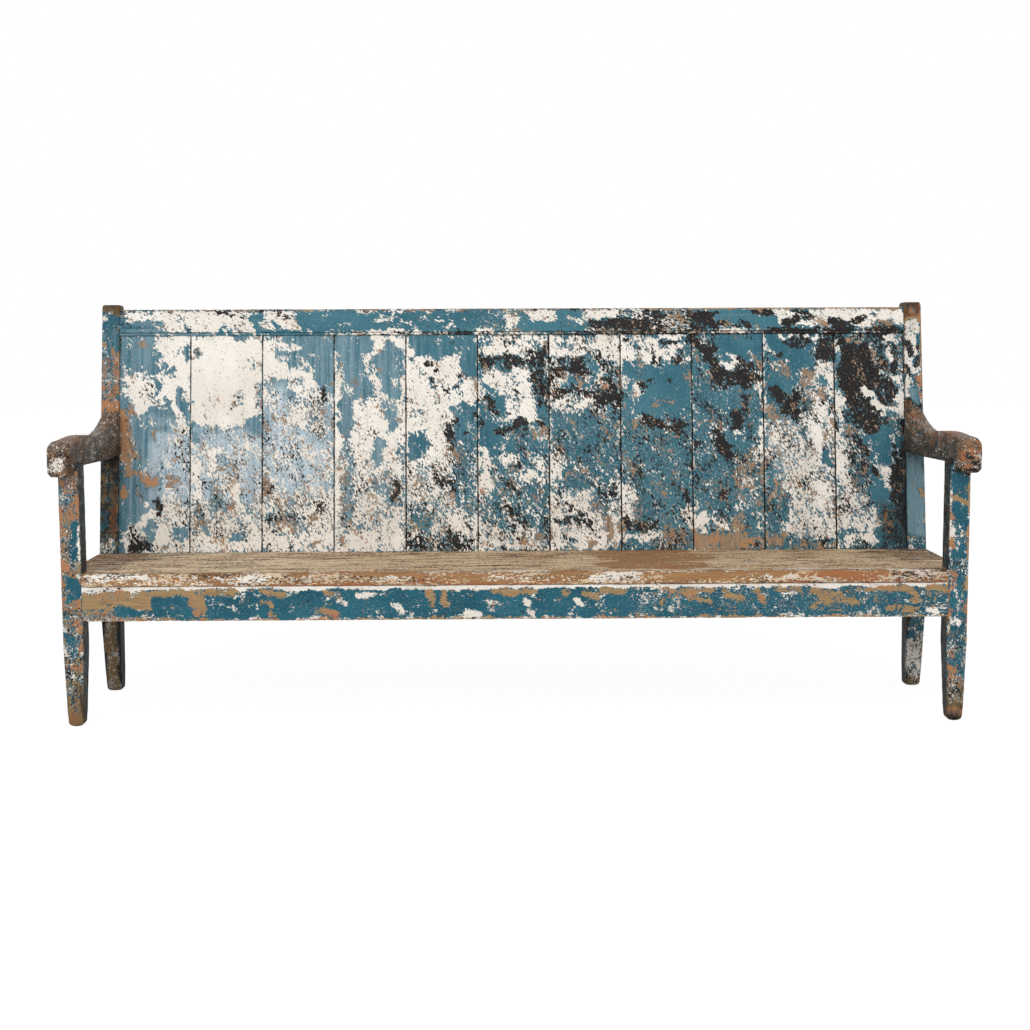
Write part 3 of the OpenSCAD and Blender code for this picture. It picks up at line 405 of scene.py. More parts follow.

# Patches of the front faces of the rear posts: -1 at the left edge to 1, millimetres above the floor.
# On the left post the sooty black from the seat up to the arm is also the arm's painted shadow.
LEFT_POST_PATCHES = (
    ("b", -1, 1, 1046, 1092), ("G", -1.2, 1.2, 1091, 1130), ("C", -.9, 1052, -.2, 1054, 2),
    ("p", -1, 1, 960, 1048), ("W", -.8, 1010, -.4, 990, 5), ("W", .2, 1000, .4, 975, 4),
    ("C", -.2, 1020, .1, 1005, 2), ("m", -1.2, 1.2, 840, 968), ("w", .2, .9, 850, 880),
    ("O", -1.2, 1.2, 790, 842), ("T", -1.2, 1.2, 405, 800), ("G", .4, 700, .5, 430, 9),
    ("G", -.5, 620, -.4, 560, 6), ("S", .0, .6, 405, 450), ("S", -1, -.2, 405, 440),
    ("V", -1.2, 1.2, -20, 370), ("T", -1.1, 365, -1, 10, 7), ("T", 1.1, 365, 1, 10, 10),
)
RIGHT_POST_PATCHES = (
    ("W", -1, 1.2, 1058, 1080), ("G", -1.2, 1.2, 1074, 1130), ("O", -.1, 1096, .1, 1084, 5),
    ("O", 1, 1110, 1, 1000, 3), ("C", -1, .7, 905, 1064), ("b", .4, 1018, .7, 985, 5),
    ("K", -.6, 1000, -.2, 965, 8), ("K", .4, 950, .2, 935, 7), ("K", -.8, 930, -.4, 905, 7),
    ("K", .5, 990, .8, 975, 5), ("W", .95, 1080, .95, 820, 4), ("O", .3, 1, 850, 905),
    ("h", -1, .4, 830, 870), ("c", -.8, 900, -.6, 830, 4), ("T", -1, 1, 796, 832),
    ("h", -1.2, 1.2, 405, 800), ("T", -1, 1, 750, 800), ("W", .7, 745, .8, 690, 6),
    ("W", .8, 650, .9, 636, 3), ("W", .5, 572, .7, 560, 5), ("W", 1, 540, 1, 430, 2),
    ("F", -1, 1, 400, 440), ("b", -1.2, 1.2, 90, 370), ("T", -1, 1, 330, 375),
    ("K", -1.1, 350, -1, 20, 8), ("C", -.6, 280, -.5, 210, 4), ("F", -.4, .9, 130, 330),
    ("C", .2, 250, .4, 240, 3), ("S", -.9, 1, 20, 140), ("C", -.4, 110, .6, 60, 6), ("D", -1, 1, -10, 24),
)

# Patches of the arms' noses: -1 at the left side to 1, and millimetres above the nose's lowest line
LEFT_NOSE_PATCHES = (
    ("c", -.3, 36, .05, 42, 6), ("C", -.1, 26, .1, 30, 6), ("C", -.9, 22, .1, 21, 4),
    ("O", -.3, 8, .6, 9, 3), ("K", -.9, 12, -.2, 13, 2), ("K", .2, 58, .5, 60, 3), ("G", .55, .9, 10, 60),
)
RIGHT_NOSE_PATCHES = (
    ("o", -.8, .4, 34, 62), ("K", -.3, 44, .1, 40, 3), ("C", .6, 44, .85, 30, 6),
    ("K", .2, 28, .6, 24, 3), ("C", 0, 14, .8, 16, 2), ("K", -.9, 7, 1, 10, 4), ("O", -.3, 20, 0, 18, 5),
)


def linear(hex_colour):
    """Turns an sRGB hex colour into linear red, green, blue and full alpha."""
    parts = [int(hex_colour[i:i + 2], 16) / 255 for i in (1, 3, 5)]
    return tuple(c / 12.92 if c <= 0.04045 else ((c + 0.055) / 1.055) ** 2.4 for c in parts) + (1.0,)


def add(tree, kind, settings, inputs):
    """Adds a node, sets its own settings, and links or fills its inputs, by name or by number. Input 0
    is what comes in, and the share in a mix of the colours 6 and 7. A mapping's 1, 2 and 3 are its
    shift, turn and scale, and a range's 1 and 2 are what it reads and 3 and 4 what it gives."""
    made = tree.nodes.new(kind)
    for name, value in settings.items():
        setattr(made, name, value)
    for key, value in inputs.items():
        if isinstance(value, bpy.types.NodeSocket):
            tree.links.new(value, made.inputs[key])
        else:
            made.inputs[key].default_value = value
    return made


def waves(seed, size, *coords):
    """Smooth wander, mostly between -1 and 1: the sum of ten sines sin(k d.p + phase) over seeded
    directions d, with k near 2 pi / size."""
    rng = np.random.default_rng(seed)
    total = 0.0
    for _ in range(10):
        direction = rng.normal(size=len(coords))
        direction /= np.linalg.norm(direction)
        k = 2 * math.pi / size * rng.uniform(0.5, 1.8)
        along = sum(d * c for d, c in zip(direction, coords))
        total = total + np.sin(k * along + rng.uniform(0, 2 * math.pi))
    return total / math.sqrt(20)


def lean(x, w, v):
    """A point of the back: w behind the posts' faces and v up the slope, turned by the rake about the
    seat's top line: y = w cos r + v sin r, z = v cos r - w sin r."""
    c, s = math.cos(RAKE), math.sin(RAKE)
    return np.stack(np.broadcast_arrays(x, POST_FACE + w * c + v * s, SEAT_TOP + v * c - w * s), -1)


def outline(corners, step=6 * MM):
    """Closed outline through corners (x, y, radius): the arc c + r (cos t, sin t) that touches both
    sides at each corner, and straight sides cut at most step apart. Gives the points, and how near
    each is to an arris: exp(-distance / 4 mm)."""
    place = np.array([c[:2] for c in corners])
    arcs = []
    for i, (_, _, radius) in enumerate(corners):
        here = place[i]
        before = place[i - 1] - here
        after = place[(i + 1) % len(corners)] - here
        before /= np.linalg.norm(before)
        after /= np.linalg.norm(after)
        half = math.acos(float(np.clip(before @ after, -1, 1))) / 2
        middle = (before + after) / np.linalg.norm(before + after)
        centre = here + middle * radius / math.sin(half)
        first = here + before * radius / math.tan(half) - centre
        last = here + after * radius / math.tan(half) - centre
        start = math.atan2(first[1], first[0])
        turn = (math.atan2(last[1], last[0]) - start + math.pi) % (2 * math.pi) - math.pi
        t = start + turn * np.linspace(0, 1, 5)
        arcs.append(centre + radius * np.stack([np.cos(t), np.sin(t)], -1))
    points, worn = [], []
    for i, arc in enumerate(arcs):
        points.append(arc)
        worn.append(np.ones(len(arc)))
        end, goal = arc[-1], arcs[(i + 1) % len(arcs)][0]
        length = np.linalg.norm(goal - end)
        count = max(1, math.ceil(length / step))
        f = np.arange(1, count) / count
        points.append(end + (goal - end) * f[:, None])
        worn.append(np.exp(-np.minimum(f, 1 - f) * length / (4 * MM)))
    return np.concatenate(points), np.concatenate(worn)


def rounded(wide, deep, step=6 * MM):
    """A rectangle with rounded corners, for members whose size changes along them. Each point is
    anchor (half size - r) + normal r. Gives anchors, normals and nearness to an arris."""
    anchors, normals, worn = [], [], []
    for quarter in range(4):
        turn = quarter * math.pi / 2
        length = deep if quarter % 2 == 0 else wide
        count = max(2, math.ceil(length / step))
        f = np.linspace(-1, 1, count + 1)
        out = np.array([math.cos(turn), math.sin(turn)])
        side = np.array([-out[1], out[0]])
        anchors.append(out + side * f[:, None])
        normals.append(np.tile(out, (len(f), 1)))
        worn.append(np.exp(-(1 - np.abs(f)) * length / 2 / (5 * MM)))
        t = turn + np.linspace(0, math.pi / 2, 7)[1:-1]
        anchors.append(np.tile(out + side, (len(t), 1)))
        normals.append(np.stack([np.cos(t), np.sin(t)], -1))
        worn.append(np.ones(len(t)))
    return np.concatenate(anchors), np.concatenate(normals), np.concatenate(worn)


def swept(rim, half_x, half_y, radius):
    """The sections of a member whose size changes along it, from the rim that rounded gives: across,
    through and nearness to an arris on a grid."""
    anchors, normals, worn = rim
    a = anchors[:, 0] * (half_x - radius) + normals[:, 0] * radius
    b = anchors[:, 1] * (half_y - radius) + normals[:, 1] * radius
    return a, b, worn + 0 * a


def stations(start, end, step, ease):
    """Places along a member, with a rounded end at each side: the section lies ease (1 - sin t)
    inside its outline at ease (1 - cos t) from the end. Gives places and insets."""
    t = np.linspace(0, math.pi / 2, 6)
    near = ease * (1 - np.cos(t))
    inset = ease * (1 - np.sin(t))
    count = max(2, math.ceil((end - start - 2 * ease) / step))
    middle = np.linspace(start + ease, end - ease, count + 1)[1:-1]
    places = np.concatenate([start + near, middle, (end - near)[::-1]])
    return places, np.concatenate([inset, np.zeros(len(middle)), inset[::-1]])


def outwards(points):
    """Unit normal of each point of a closed outline that runs anticlockwise: the chord between its
    neighbours turned by a right angle."""
    chord = np.roll(points, -1, 0) - np.roll(points, 1, 0)
    normal = np.stack([chord[:, 1], -chord[:, 0]], -1)
    return normal / np.maximum(np.linalg.norm(normal, axis=1, keepdims=True), 1e-9)


def clockwise(points):
    """True when the outline's area, half the sum of x y' - x' y, is negative."""
    after = np.roll(points, -1, 0)
    return np.sum(points[:, 0] * after[:, 1] - after[:, 0] * points[:, 1]) < 0


def closing(a, b, s, worn):
    """Closes both ends of a run of sections with rings drawn in towards their middle:
    p = middle + (p - middle) share."""
    share = np.array([0.97, 0.75, 0.5, 0.25, 0.04])[:, None]

    def rings(i):
        middle_a, middle_b = a[i].mean(), b[i].mean()
        flat = np.ones_like(share)
        return (middle_a + (a[i] - middle_a) * share, middle_b + (b[i] - middle_b) * share,
                s[i] * flat, worn[i] * share ** 6)

    first, last = rings(0), rings(-1)
    return [np.concatenate([f[::-1], m, e]) for f, m, e in zip(first, (a, b, s, worn), last)]


def tenoned(a, b, s, layers, low, high, length):
    """Adds a tenon at both ends: the end section is clipped to the rectangle low to high at the
    shoulder, and the clipped outline runs on for the tenon's length."""
    for end, reach in ((0, -length), (-1, length)):
        tenon_a = np.clip(a[end], low[0], high[0])
        tenon_b = np.clip(b[end], low[1], high[1])
        shoulder = (tenon_a, tenon_b, s[end], layers[end])
        tip = (tenon_a, tenon_b, s[end] + reach, layers[end])
        made = []
        for whole, *rows in zip((a, b, s, layers), shoulder, tip):
            made.append(np.concatenate([whole, rows] if end else [rows[::-1], whole]))
        a, b, s, layers = made
    return a, b, s, layers


def shell(name, surfaces, material, nodes):
    """Makes one piece from closed tubes. Each surface is (points, grain, layers) on a grid of sections
    by points round, whose first and last sections are its end caps. Faces are turned outwards where
    the volume, the sum of a.(b x c) / 6 over its triangles, is negative."""
    vertices, grains, coats, faces = [], [], [], []
    offset = 0
    for points, grain, layers in surfaces:
        rows, round_count = points.shape[:2]
        index = np.arange(rows * round_count).reshape(rows, round_count)
        beside = np.roll(index, -1, 1)
        quads = np.stack([index[:-1], beside[:-1], beside[1:], index[1:]], -1).reshape(-1, 4)
        flat = points.reshape(-1, 3)
        a, b, c, d = (flat[quads[:, k]] for k in range(4))
        volume = np.einsum("ij,ij", a, np.cross(b, c)) + np.einsum("ij,ij", a, np.cross(c, d))
        caps = [index[0][::-1].tolist(), index[-1].tolist()]
        if volume < 0:
            quads = quads[:, ::-1]
            caps = [cap[::-1] for cap in caps]
        faces += (quads + offset).tolist() + [[i + offset for i in cap] for cap in caps]
        vertices.append(flat)
        grains.append(grain.reshape(-1, 3))
        coats.append(layers.reshape(len(flat), -1))
        offset += len(flat)
    mesh = bpy.data.meshes.new(name)
    mesh.from_pydata(np.concatenate(vertices).tolist(), [], faces)
    coats = np.concatenate(coats)
    # The wear attribute holds grit, grime together with painted shade, and rust
    for key, kind, field, values in (
        ("grain", "FLOAT_VECTOR", "vector", np.concatenate(grains)),
        ("layers", "FLOAT_COLOR", "color", coats[:, :GRIT]),
        ("wear", "FLOAT_VECTOR", "vector", coats[:, GRIT:]),
    ):
        attribute = mesh.attributes.new(key, kind, "POINT")
        attribute.data.foreach_set(field, values.astype(np.float32).ravel())
    mesh.shade_smooth()
    mesh.set_sharp_from_angle(angle=SHARP)
    mesh.materials.append(material)
    piece = bpy.data.objects.new(name, mesh)
    bpy.context.scene.collection.objects.link(piece)
    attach(piece, "root")
    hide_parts(*nodes)
    return piece


def grained(seed, a, b, s):
    """The grain's own coordinates: across, through and along, moved by a seeded amount so that no two
    timbers share a pattern."""
    shift = np.random.default_rng(seed).uniform(-5, 5, 3)
    return np.stack(np.broadcast_arrays(a + shift[0], b + shift[1], s + shift[2]), -1)


def coated(kind, shape):
    """A whole surface of one kind of patch."""
    return np.tile(np.array(KINDS[kind], float), shape + (1,))


def patched(layers, x, y, patches, unit_x, unit_y, start_x, soft, wander, where):
    """Paints patches over layers in their order, by the share that where allows. Their places are
    counted in unit_x from start_x and in unit_y from 0. A box's distance is max(|x - cx| - hx,
    |y - cy| - hy), a stroke's is the distance to its line less half its width, and the share that is
    painted falls from 1 to 0 as the distance goes from -edge to edge. The thick bloom has a wider
    edge. Places wander first, so that no edge is straight."""
    seed = len(patches)
    x, y = (
        x + wander[0] * (waves(seed, 75 * MM, x, y) + 0.45 * waves(seed + 1, 26 * MM, x, y)),
        y + wander[1] * (waves(seed + 2, 75 * MM, x, y) + 0.5 * waves(seed + 3, 26 * MM, x, y)),
    )
    for kind, *numbers in patches:
        if len(numbers) == 4:
            x0, x1 = (start_x + n * unit_x for n in numbers[:2])
            y0, y1 = (n * unit_y for n in numbers[2:])
            away = np.maximum(abs(x - (x0 + x1) / 2) - (x1 - x0) / 2,
                              abs(y - (y0 + y1) / 2) - (y1 - y0) / 2)
            edge = soft * (2.6 if kind == "H" else 1)
        else:
            x0, x1 = start_x + numbers[0] * unit_x, start_x + numbers[2] * unit_x
            y0, y1 = numbers[1] * unit_y, numbers[3] * unit_y
            dx, dy = x1 - x0, y1 - y0
            f = np.clip(((x - x0) * dx + (y - y0) * dy) / max(dx * dx + dy * dy, 1e-12), 0, 1)
            away = np.hypot(x - x0 - f * dx, y - y0 - f * dy) - (numbers[4] + 1) * MM
            edge = min(soft, (4 + numbers[4] * 0.7) * MM)
        share = np.clip(0.5 - away / (2 * edge), 0, 1)
        share = (share * share * (3 - 2 * share) * where)[..., None]
        layers = layers * (1 - share) + np.array(KINDS[kind]) * share
    return layers


def rubbed(layers, worn, cream, wood, wander):
    """Wear along an arris: worn (0.6 + 0.5 wander) of more cream and more bare wood."""
    share = np.clip(worn * (0.6 + 0.5 * wander), 0, 1)
    layers[..., CREAM] += share * cream
    layers[..., WOOD] += share * wood
    return layers


def blackened(layers, inside, wander, most=0.9):
    """Old black and dirt in a joint, with painted shade where it lies under the rail and the nosing and in
    the quirk: full 1 mm past the line where inside is 0, and gone at the line, which wanders by half a
    millimetre."""
    share = np.clip(-inside / MM + 0.5 * wander, 0, 1)[..., None]
    layers[..., [CREAM, BLACK, WOOD]] += share * np.array([-0.3, most, -0.3])
    return layers


def where_hidden(layers, hidden, seed, x, y):
    """The side that faces the wall: faded paint with broad patches of dry wood, whose share is
    0.15 + 0.32 wander."""
    layers[hidden] = np.array(KINDS["F"])
    layers[..., WOOD] = np.where(hidden, 0.15 + 0.32 * waves(seed + 90, 380 * MM, x, y), layers[..., WOOD])
    layers[..., BLOOM] = np.where(hidden, 0.35 + 0.3 * waves(seed + 91, 260 * MM, x, y), layers[..., BLOOM])
    return layers


# The coats of a finish from the top down: key, label, and what the colour is
COATS = (
    ("paint_thick", "Paint, thick", "The paint, or the wood's own surface, where it lies thickest"),
    ("paint_thin", "Paint, thin", "The same surface where it is thin and chalky"),
    ("bloom", "Bloom", "The pale bloom that lies over the surface in drifts"),
    ("cream_clean", "Cream coat, clean", "The cream coat under the paint, where it is clean"),
    ("cream_dull", "Cream coat, dull", "The cream coat where it has gone dull"),
    ("black_deep", "Black coat, deep", "The oldest, black coat"),
    ("black_dusty", "Black coat, dusty", "The black coat where dust sits on it"),
    ("wood_pale", "Bare wood, pale", "The bare wood between its dark grain lines"),
    ("wood_dark", "Bare wood, dark", "The bare wood's dark grain lines"),
    ("wood_stained", "Bare wood, stained", "The bare wood where old primer has stained it"),
)


COLOUR = {"subtype": "COLOR", "size": 4, "min": 0.0, "max": 1.0}
LENGTH = {"subtype": "DISTANCE", "unit": "LENGTH"}
SHARE = {"subtype": "FACTOR", "min": 0.0, "max": 1.0}


def finish_group(title, colours, flake, fleck, stretch, slant, streak, roughness):
    """The settings of one finish: a colour for each coat, the sizes of its flakes, and its sheen."""
    settings = {
        key: bpy.props.FloatVectorProperty(name=label, description=about, default=linear(colour), **COLOUR)
        for (key, label, about), colour in zip(COATS, colours)
    }
    for key, label, about, value, more in (
        ("flake", "Flake size", "Size of the large flakes", flake * MM, {"min": MM, **LENGTH}),
        ("fleck", "Fleck size", "Size of the small flecks along a flake's edge", fleck * MM,
         {"min": MM, **LENGTH}),
        ("stretch", "Stretch", "How many times longer a flake is along the grain", stretch, {"min": 1.0}),
        ("slant", "Slant", "How far the flakes lean across the grain", math.radians(slant),
         {"subtype": "ANGLE", "unit": "ROTATION"}),
        ("streak", "Streak", "How much the colour follows the grain, and not broad clouds", streak, SHARE),
        ("roughness", "Roughness", "Roughness of the whole surface", roughness, SHARE),
    ):
        settings[key] = bpy.props.FloatProperty(name=label, description=about, default=value, **more)
    return type(title, (bpy.types.PropertyGroup,), {"__annotations__": settings})


BackPaint = finish_group(
    "BackPaint",
    ("#235F70", "#467A89", "#CEDFEB", "#FAF4EB", "#EEE7DC",
     "#0E0E10", "#2C2826", "#B59B7D", "#856C5C", "#BA8A62"),
    flake=38, fleck=5.5, stretch=1.7, slant=24, streak=0.3, roughness=0.5)
FramePaint = finish_group(
    "FramePaint",
    ("#0C4C5D", "#246475", "#9CB4BC", "#F2EDE4", "#DDD4C9",
     "#101214", "#2C2623", "#B09367", "#8C7052", "#B27A53"),
    flake=22, fleck=4.5, stretch=1.4, slant=0, streak=0.25, roughness=0.42)
SeatWood = finish_group(
    "SeatWood",
    ("#FCE2BB", "#C8A177", "#F1D8B6", "#F0E9DE", "#DBCFC0",
     "#3F3127", "#604C3C", "#AE845A", "#8E6846", "#A66C48"),
    flake=22, fleck=5, stretch=5.0, slant=0, streak=0.75, roughness=0.6)
ArmWood = finish_group(
    "ArmWood",
    ("#2C1D13", "#664B37", "#283A3A", "#EDE6DA", "#CDC0AF",
     "#14110F", "#2C231D", "#9A7A5E", "#70523C", "#A26A46"),
    flake=20, fleck=5, stretch=2.0, slant=0, streak=0.5, roughness=0.36)
RailWood = finish_group(
    "RailWood",
    ("#B08D62", "#8F6D48", "#B9A588", "#D9CDBB", "#C4B49C",
     "#4A3B2E", "#5B4A3C", "#A37C52", "#7D5B3B", "#A06A42"),
    flake=30, fleck=5, stretch=3.0, slant=0, streak=0.8, roughness=0.7)
PegWood = finish_group(
    "PegWood",
    ("#8A6746", "#6B4D33", "#9C8366", "#D9CDBB", "#C4B49C",
     "#2E241C", "#45382C", "#7D5B3B", "#5E4129", "#84573A"),
    flake=6, fleck=2, stretch=3.0, slant=0, streak=0.7, roughness=0.65)


class SettleFinishes(bpy.types.PropertyGroup):
    """The finishes of the bench, each with its coats"""

    back: bpy.props.PointerProperty(
        name="Back paint", description="Blue paint of the boards and the top rail", type=BackPaint)
    frame: bpy.props.PointerProperty(
        name="Frame paint", description="Teal paint of the legs, posts and apron", type=FramePaint)
    seat: bpy.props.PointerProperty(
        name="Seat wood", description="Scrubbed pine of the seat planks", type=SeatWood)
    arms: bpy.props.PointerProperty(
        name="Arm wood", description="Hand-worn wood of the arms", type=ArmWood)
    rails: bpy.props.PointerProperty(
        name="Rail wood", description="Dry pine of the hidden rails", type=RailWood)
    pegs: bpy.props.PointerProperty(
        name="Peg wood", description="Riven oak of the pegs", type=PegWood)


class SettleSizes(bpy.types.PropertyGroup):
    """Sizes of the wear, colours of the nails, and the light"""

    board_chips: bpy.props.FloatProperty(
        name="Board chips", description="Depth of the chips along the boards' edges",
        default=1.1 * MM, min=0.0, **LENGTH)
    rail_chips: bpy.props.FloatProperty(
        name="Top rail chips", description="Depth of the chips along the top rail's edges",
        default=1.0 * MM, min=0.0, **LENGTH)
    apron_chips: bpy.props.FloatProperty(
        name="Apron chips", description="Depth of the chips along the apron's edges",
        default=1.3 * MM, min=0.0, **LENGTH)
    seat_chips: bpy.props.FloatProperty(
        name="Seat chips", description="Depth of the chips along the seat's front edge",
        default=1.4 * MM, min=0.0, **LENGTH)
    seat_dip: bpy.props.FloatProperty(
        name="Seat dip", description="Depth of the hollows worn in the seat",
        default=0.8 * MM, min=0.0, **LENGTH)
    nail_dark: bpy.props.FloatVectorProperty(
        name="Nail, dark", description="Dark scale on the nails", default=linear("#3A2A22"), **COLOUR)
    nail_rust: bpy.props.FloatVectorProperty(
        name="Nail, rust", description="Rust on the nails", default=linear("#7A4A2E"), **COLOUR)
    lamp_power: bpy.props.FloatProperty(
        name="Lamp power", description="Power of the large soft lamp in front of the bench",
        default=112.0, min=0.0, unit="POWER")
    sky_strength: bpy.props.FloatProperty(
        name="Sky strength", description="Strength of the even light from all round", default=0.48, min=0.0)
    floor_size: bpy.props.FloatProperty(
        name="Floor size", description="Width and depth of the pale floor", default=60.0, min=0.0, **LENGTH)
    floor_colour: bpy.props.FloatVectorProperty(
        name="Floor colour", description="Colour of the floor and backdrop", default=(0.9, 0.9, 0.9, 1.0),
        **COLOUR)


# Patterns in every finish: the stretched place that each is read at, its size, the detail and roughness
# of its noise, and a shift that keeps it apart from the others. Pine's fine grain lines are about half a
# millimetre apart and dust is finer still, which is too fine to show in the render, so the strands are
# drawn at 2.6 mm and the specks at 3.2 mm.
PATTERNS = (
    ("strands", "fibres", 2.6 * MM, 5.0, 0.6, 0.7),
    ("drifts", "fibres", 9 * MM, 5.0, 0.6, 2.9),
    ("clouds", "drawn", 90 * MM, 4.0, 0.6, 5.3),
    ("specks", "ragged", 3.2 * MM, 2.0, 0.5, 8.9),
)

# Shares read off the patterns: the pattern's values where the share starts and ends, then its least and
# its most
SHARES = (
    ("strand", "strands", 0.35, 0.65, 0.0, 1.0),
    ("cloud", "clouds", 0.38, 0.62, 0.0, 1.0),
    ("uneven", "clouds", 0.35, 0.65, 0.7, 1.2),
    ("dust", "specks", 0.38, 0.66, 0.0, 1.0),
    ("dirt", "specks", 0.64, 0.69, 0.0, 0.7),
    ("freckle", "specks", 0.56, 0.64, 0.0, 0.7),
    ("chalk", "specks", 0.39, 0.35, 0.0, 0.8),
    ("bloom", "bloomed", 0.65, 1.65, 0.0, 0.95),
    ("stain", "stained", 0.62, 0.70, 0.0, 0.85),
)

# The coats that show through the paint: the shift of their flakes, how deep they lie in the bump, and how
# much rougher they are
UNDERCOATS = (("cream", 11.0, 0.3, 0.08), ("black", 23.0, 0.35, 0.0), ("wood", 37.0, 0.4, 0.2))

# Dark freckles and chalky specks on the paint, dirt on the cream, the broken dark rim round each flake,
# which is dirt and a painted shadow of the flake's edge, and the grime and painted shade that darken
# everything under them
FRECKLE, CHALK, DIRT, RIM_DIRT_AND_SHADOW, SOOT_AND_SHADE = (
    linear(colour) for colour in ("#4E5352", "#C3CCCA", "#7A6A5C", "#3A332E", "#4A453F"))


def layered(name, finish):
    """Old brushed paint in layers: a top coat over cream, an older black coat and bare wood. The
    piece's layers attribute says how much of each shows, and ragged noise of real flake size
    decides where: a coat shows where its level + sway (flakes + bite (flecks - 0.5) - 0.5) passes
    0.5. Every step down from coat to coat shows in the bump."""
    material = bpy.data.materials.new(name)
    material.use_nodes = True
    tree = material.node_tree
    tree.nodes.clear()
    grain, levels, wear = (
        add(tree, "ShaderNodeAttribute", {"attribute_name": key}, {}).outputs
        for key in ("grain", "layers", "wear"))
    level = add(tree, "ShaderNodeSeparateColor", {}, {0: levels["Color"]}).outputs
    grit, grime_and_shade, rust = add(tree, "ShaderNodeSeparateXYZ", {}, {0: wear["Vector"]}).outputs

    turned = add(tree, "ShaderNodeMapping", {}, {0: grain["Vector"], 2: (0, finish.slant, 0)}).outputs[0]
    place = {}
    for key, start, along in (
        ("drawn", turned, 1 / finish.stretch),
        ("ragged", turned, 1 / min(finish.stretch, 1.8)),
        ("fibres", grain["Vector"], 0.035),
    ):
        place[key] = add(tree, "ShaderNodeMapping", {}, {0: start, 3: (1, 1, along)}).outputs[0]
    patterns = PATTERNS
    for coat, shift, _, _ in UNDERCOATS:
        patterns += ((coat + " flakes", "drawn", finish.flake, 8.0, 0.68, shift),
                     (coat + " flecks", "ragged", finish.fleck, 3.0, 0.6, shift + 3.1))
    noise = {}
    for key, where, size, detail, roughness, shift in patterns:
        moved = add(tree, "ShaderNodeMapping", {}, {0: place[where], 1: (shift, -shift, 2 * shift)})
        noise[key] = add(tree, "ShaderNodeTexNoise", {"noise_dimensions": "3D"}, {
            0: moved.outputs[0], "Scale": 1 / size, "Detail": detail, "Roughness": roughness}).outputs[0]
    noise["bloomed"] = add(tree, "ShaderNodeMath", {"operation": "ADD"}, {
        0: levels["Alpha"], 1: noise["drifts"]}).outputs[0]
    noise["stained"] = add(tree, "ShaderNodeMath", {"operation": "MULTIPLY_ADD"}, {
        0: rust, 1: 0.26, 2: noise["clouds"]}).outputs[0]

    share = {}
    for key, pattern, start, end, least, most in SHARES:
        share[key] = add(tree, "ShaderNodeMapRange", {}, {
            0: noise[pattern], 1: start, 2: end, 3: least, 4: most}).outputs[0]
    for key, amount in (("freckle", grit), ("chalk", grit), ("uneven", grime_and_shade)):
        share[key] = add(tree, "ShaderNodeMath", {"operation": "MULTIPLY"}, {
            0: share[key], 1: amount}).outputs[0]
    share["tone"] = add(tree, "ShaderNodeMix", {"data_type": "RGBA"}, {
        0: finish.streak, 6: share["cloud"], 7: share["strand"]}).outputs[2]

    tint = {key: tuple(getattr(finish, key)) for key, _, _ in COATS}
    tint.update(freckle=FRECKLE, chalk=CHALK, dirt=DIRT)
    for coat, base, glazes in (
        ("paint", "paint_thick", (
            ("tone", "paint_thin"), ("bloom", "bloom"), ("freckle", "freckle"), ("chalk", "chalk"))),
        ("cream", "cream_clean", (("cloud", "cream_dull"), ("dirt", "dirt"))),
        ("black", "black_deep", (("dust", "black_dusty"),)),
        ("wood", "wood_pale", (("strand", "wood_dark"), ("stain", "wood_stained"))),
    ):
        tint[coat] = tint[base]
        for amount, glaze in glazes:
            tint[coat] = add(tree, "ShaderNodeMix", {"data_type": "RGBA"}, {
                0: share[amount], 6: tint[coat], 7: tint[glaze]}).outputs[2]

    # Grit roughens the flakes' edges, and sway is how far the noise can carry a level
    bite = add(tree, "ShaderNodeMath", {"operation": "MULTIPLY_ADD"}, {
        0: grit, 1: 1.1, 2: 0.25}).outputs[0]
    sway = 3.4
    colour = tint["paint"]
    height = add(tree, "ShaderNodeMath", {"operation": "MULTIPLY_ADD"}, {
        0: noise["strands"], 1: 0.35, 2: 1.0})
    rough = add(tree, "ShaderNodeMath", {"operation": "MULTIPLY_ADD"}, {
        0: share["cloud"], 1: 0.12, 2: finish.roughness})
    for socket, (coat, _, drop, matt) in zip(level, UNDERCOATS):
        value = add(tree, "ShaderNodeMath", {"operation": "SUBTRACT"}, {0: noise[coat + " flecks"], 1: 0.5})
        for first, second in ((bite, noise[coat + " flakes"]), (sway, -sway / 2)):
            value = add(tree, "ShaderNodeMath", {"operation": "MULTIPLY_ADD"}, {
                0: value.outputs[0], 1: first, 2: second})
        value = add(tree, "ShaderNodeMath", {"operation": "ADD"}, {0: socket, 1: value.outputs[0]})
        shown = add(tree, "ShaderNodeMapRange", {}, {
            0: value.outputs[0], 1: 0.46, 2: 0.54, 3: 0.0, 4: 1.0}).outputs[0]
        # A dark rim on the lower coat beside each flake's edge: dirt and a painted shadow of the flake
        rim = add(tree, "ShaderNodeMapRange", {}, {
            0: value.outputs[0], 1: 0.5, 2: 0.62, 3: 0.35, 4: 0.0}).outputs[0]
        edged = add(tree, "ShaderNodeMix", {"data_type": "RGBA"}, {0: rim, 6: tint[coat], 7: RIM_DIRT_AND_SHADOW})
        colour = add(tree, "ShaderNodeMix", {"data_type": "RGBA"}, {
            0: shown, 6: colour, 7: edged.outputs[2]}).outputs[2]
        height = add(tree, "ShaderNodeMath", {"operation": "MULTIPLY_ADD"}, {
            0: shown, 1: -drop, 2: height.outputs[0]})
        rough = add(tree, "ShaderNodeMath", {"operation": "MULTIPLY_ADD"}, {
            0: shown, 1: matt, 2: rough.outputs[0]})
    # Grime and painted shade darken the colour towards the soot tint
    colour = add(tree, "ShaderNodeMix", {"data_type": "RGBA", "blend_type": "MULTIPLY"}, {
        0: share["uneven"], 6: colour, 7: SOOT_AND_SHADE}).outputs[2]

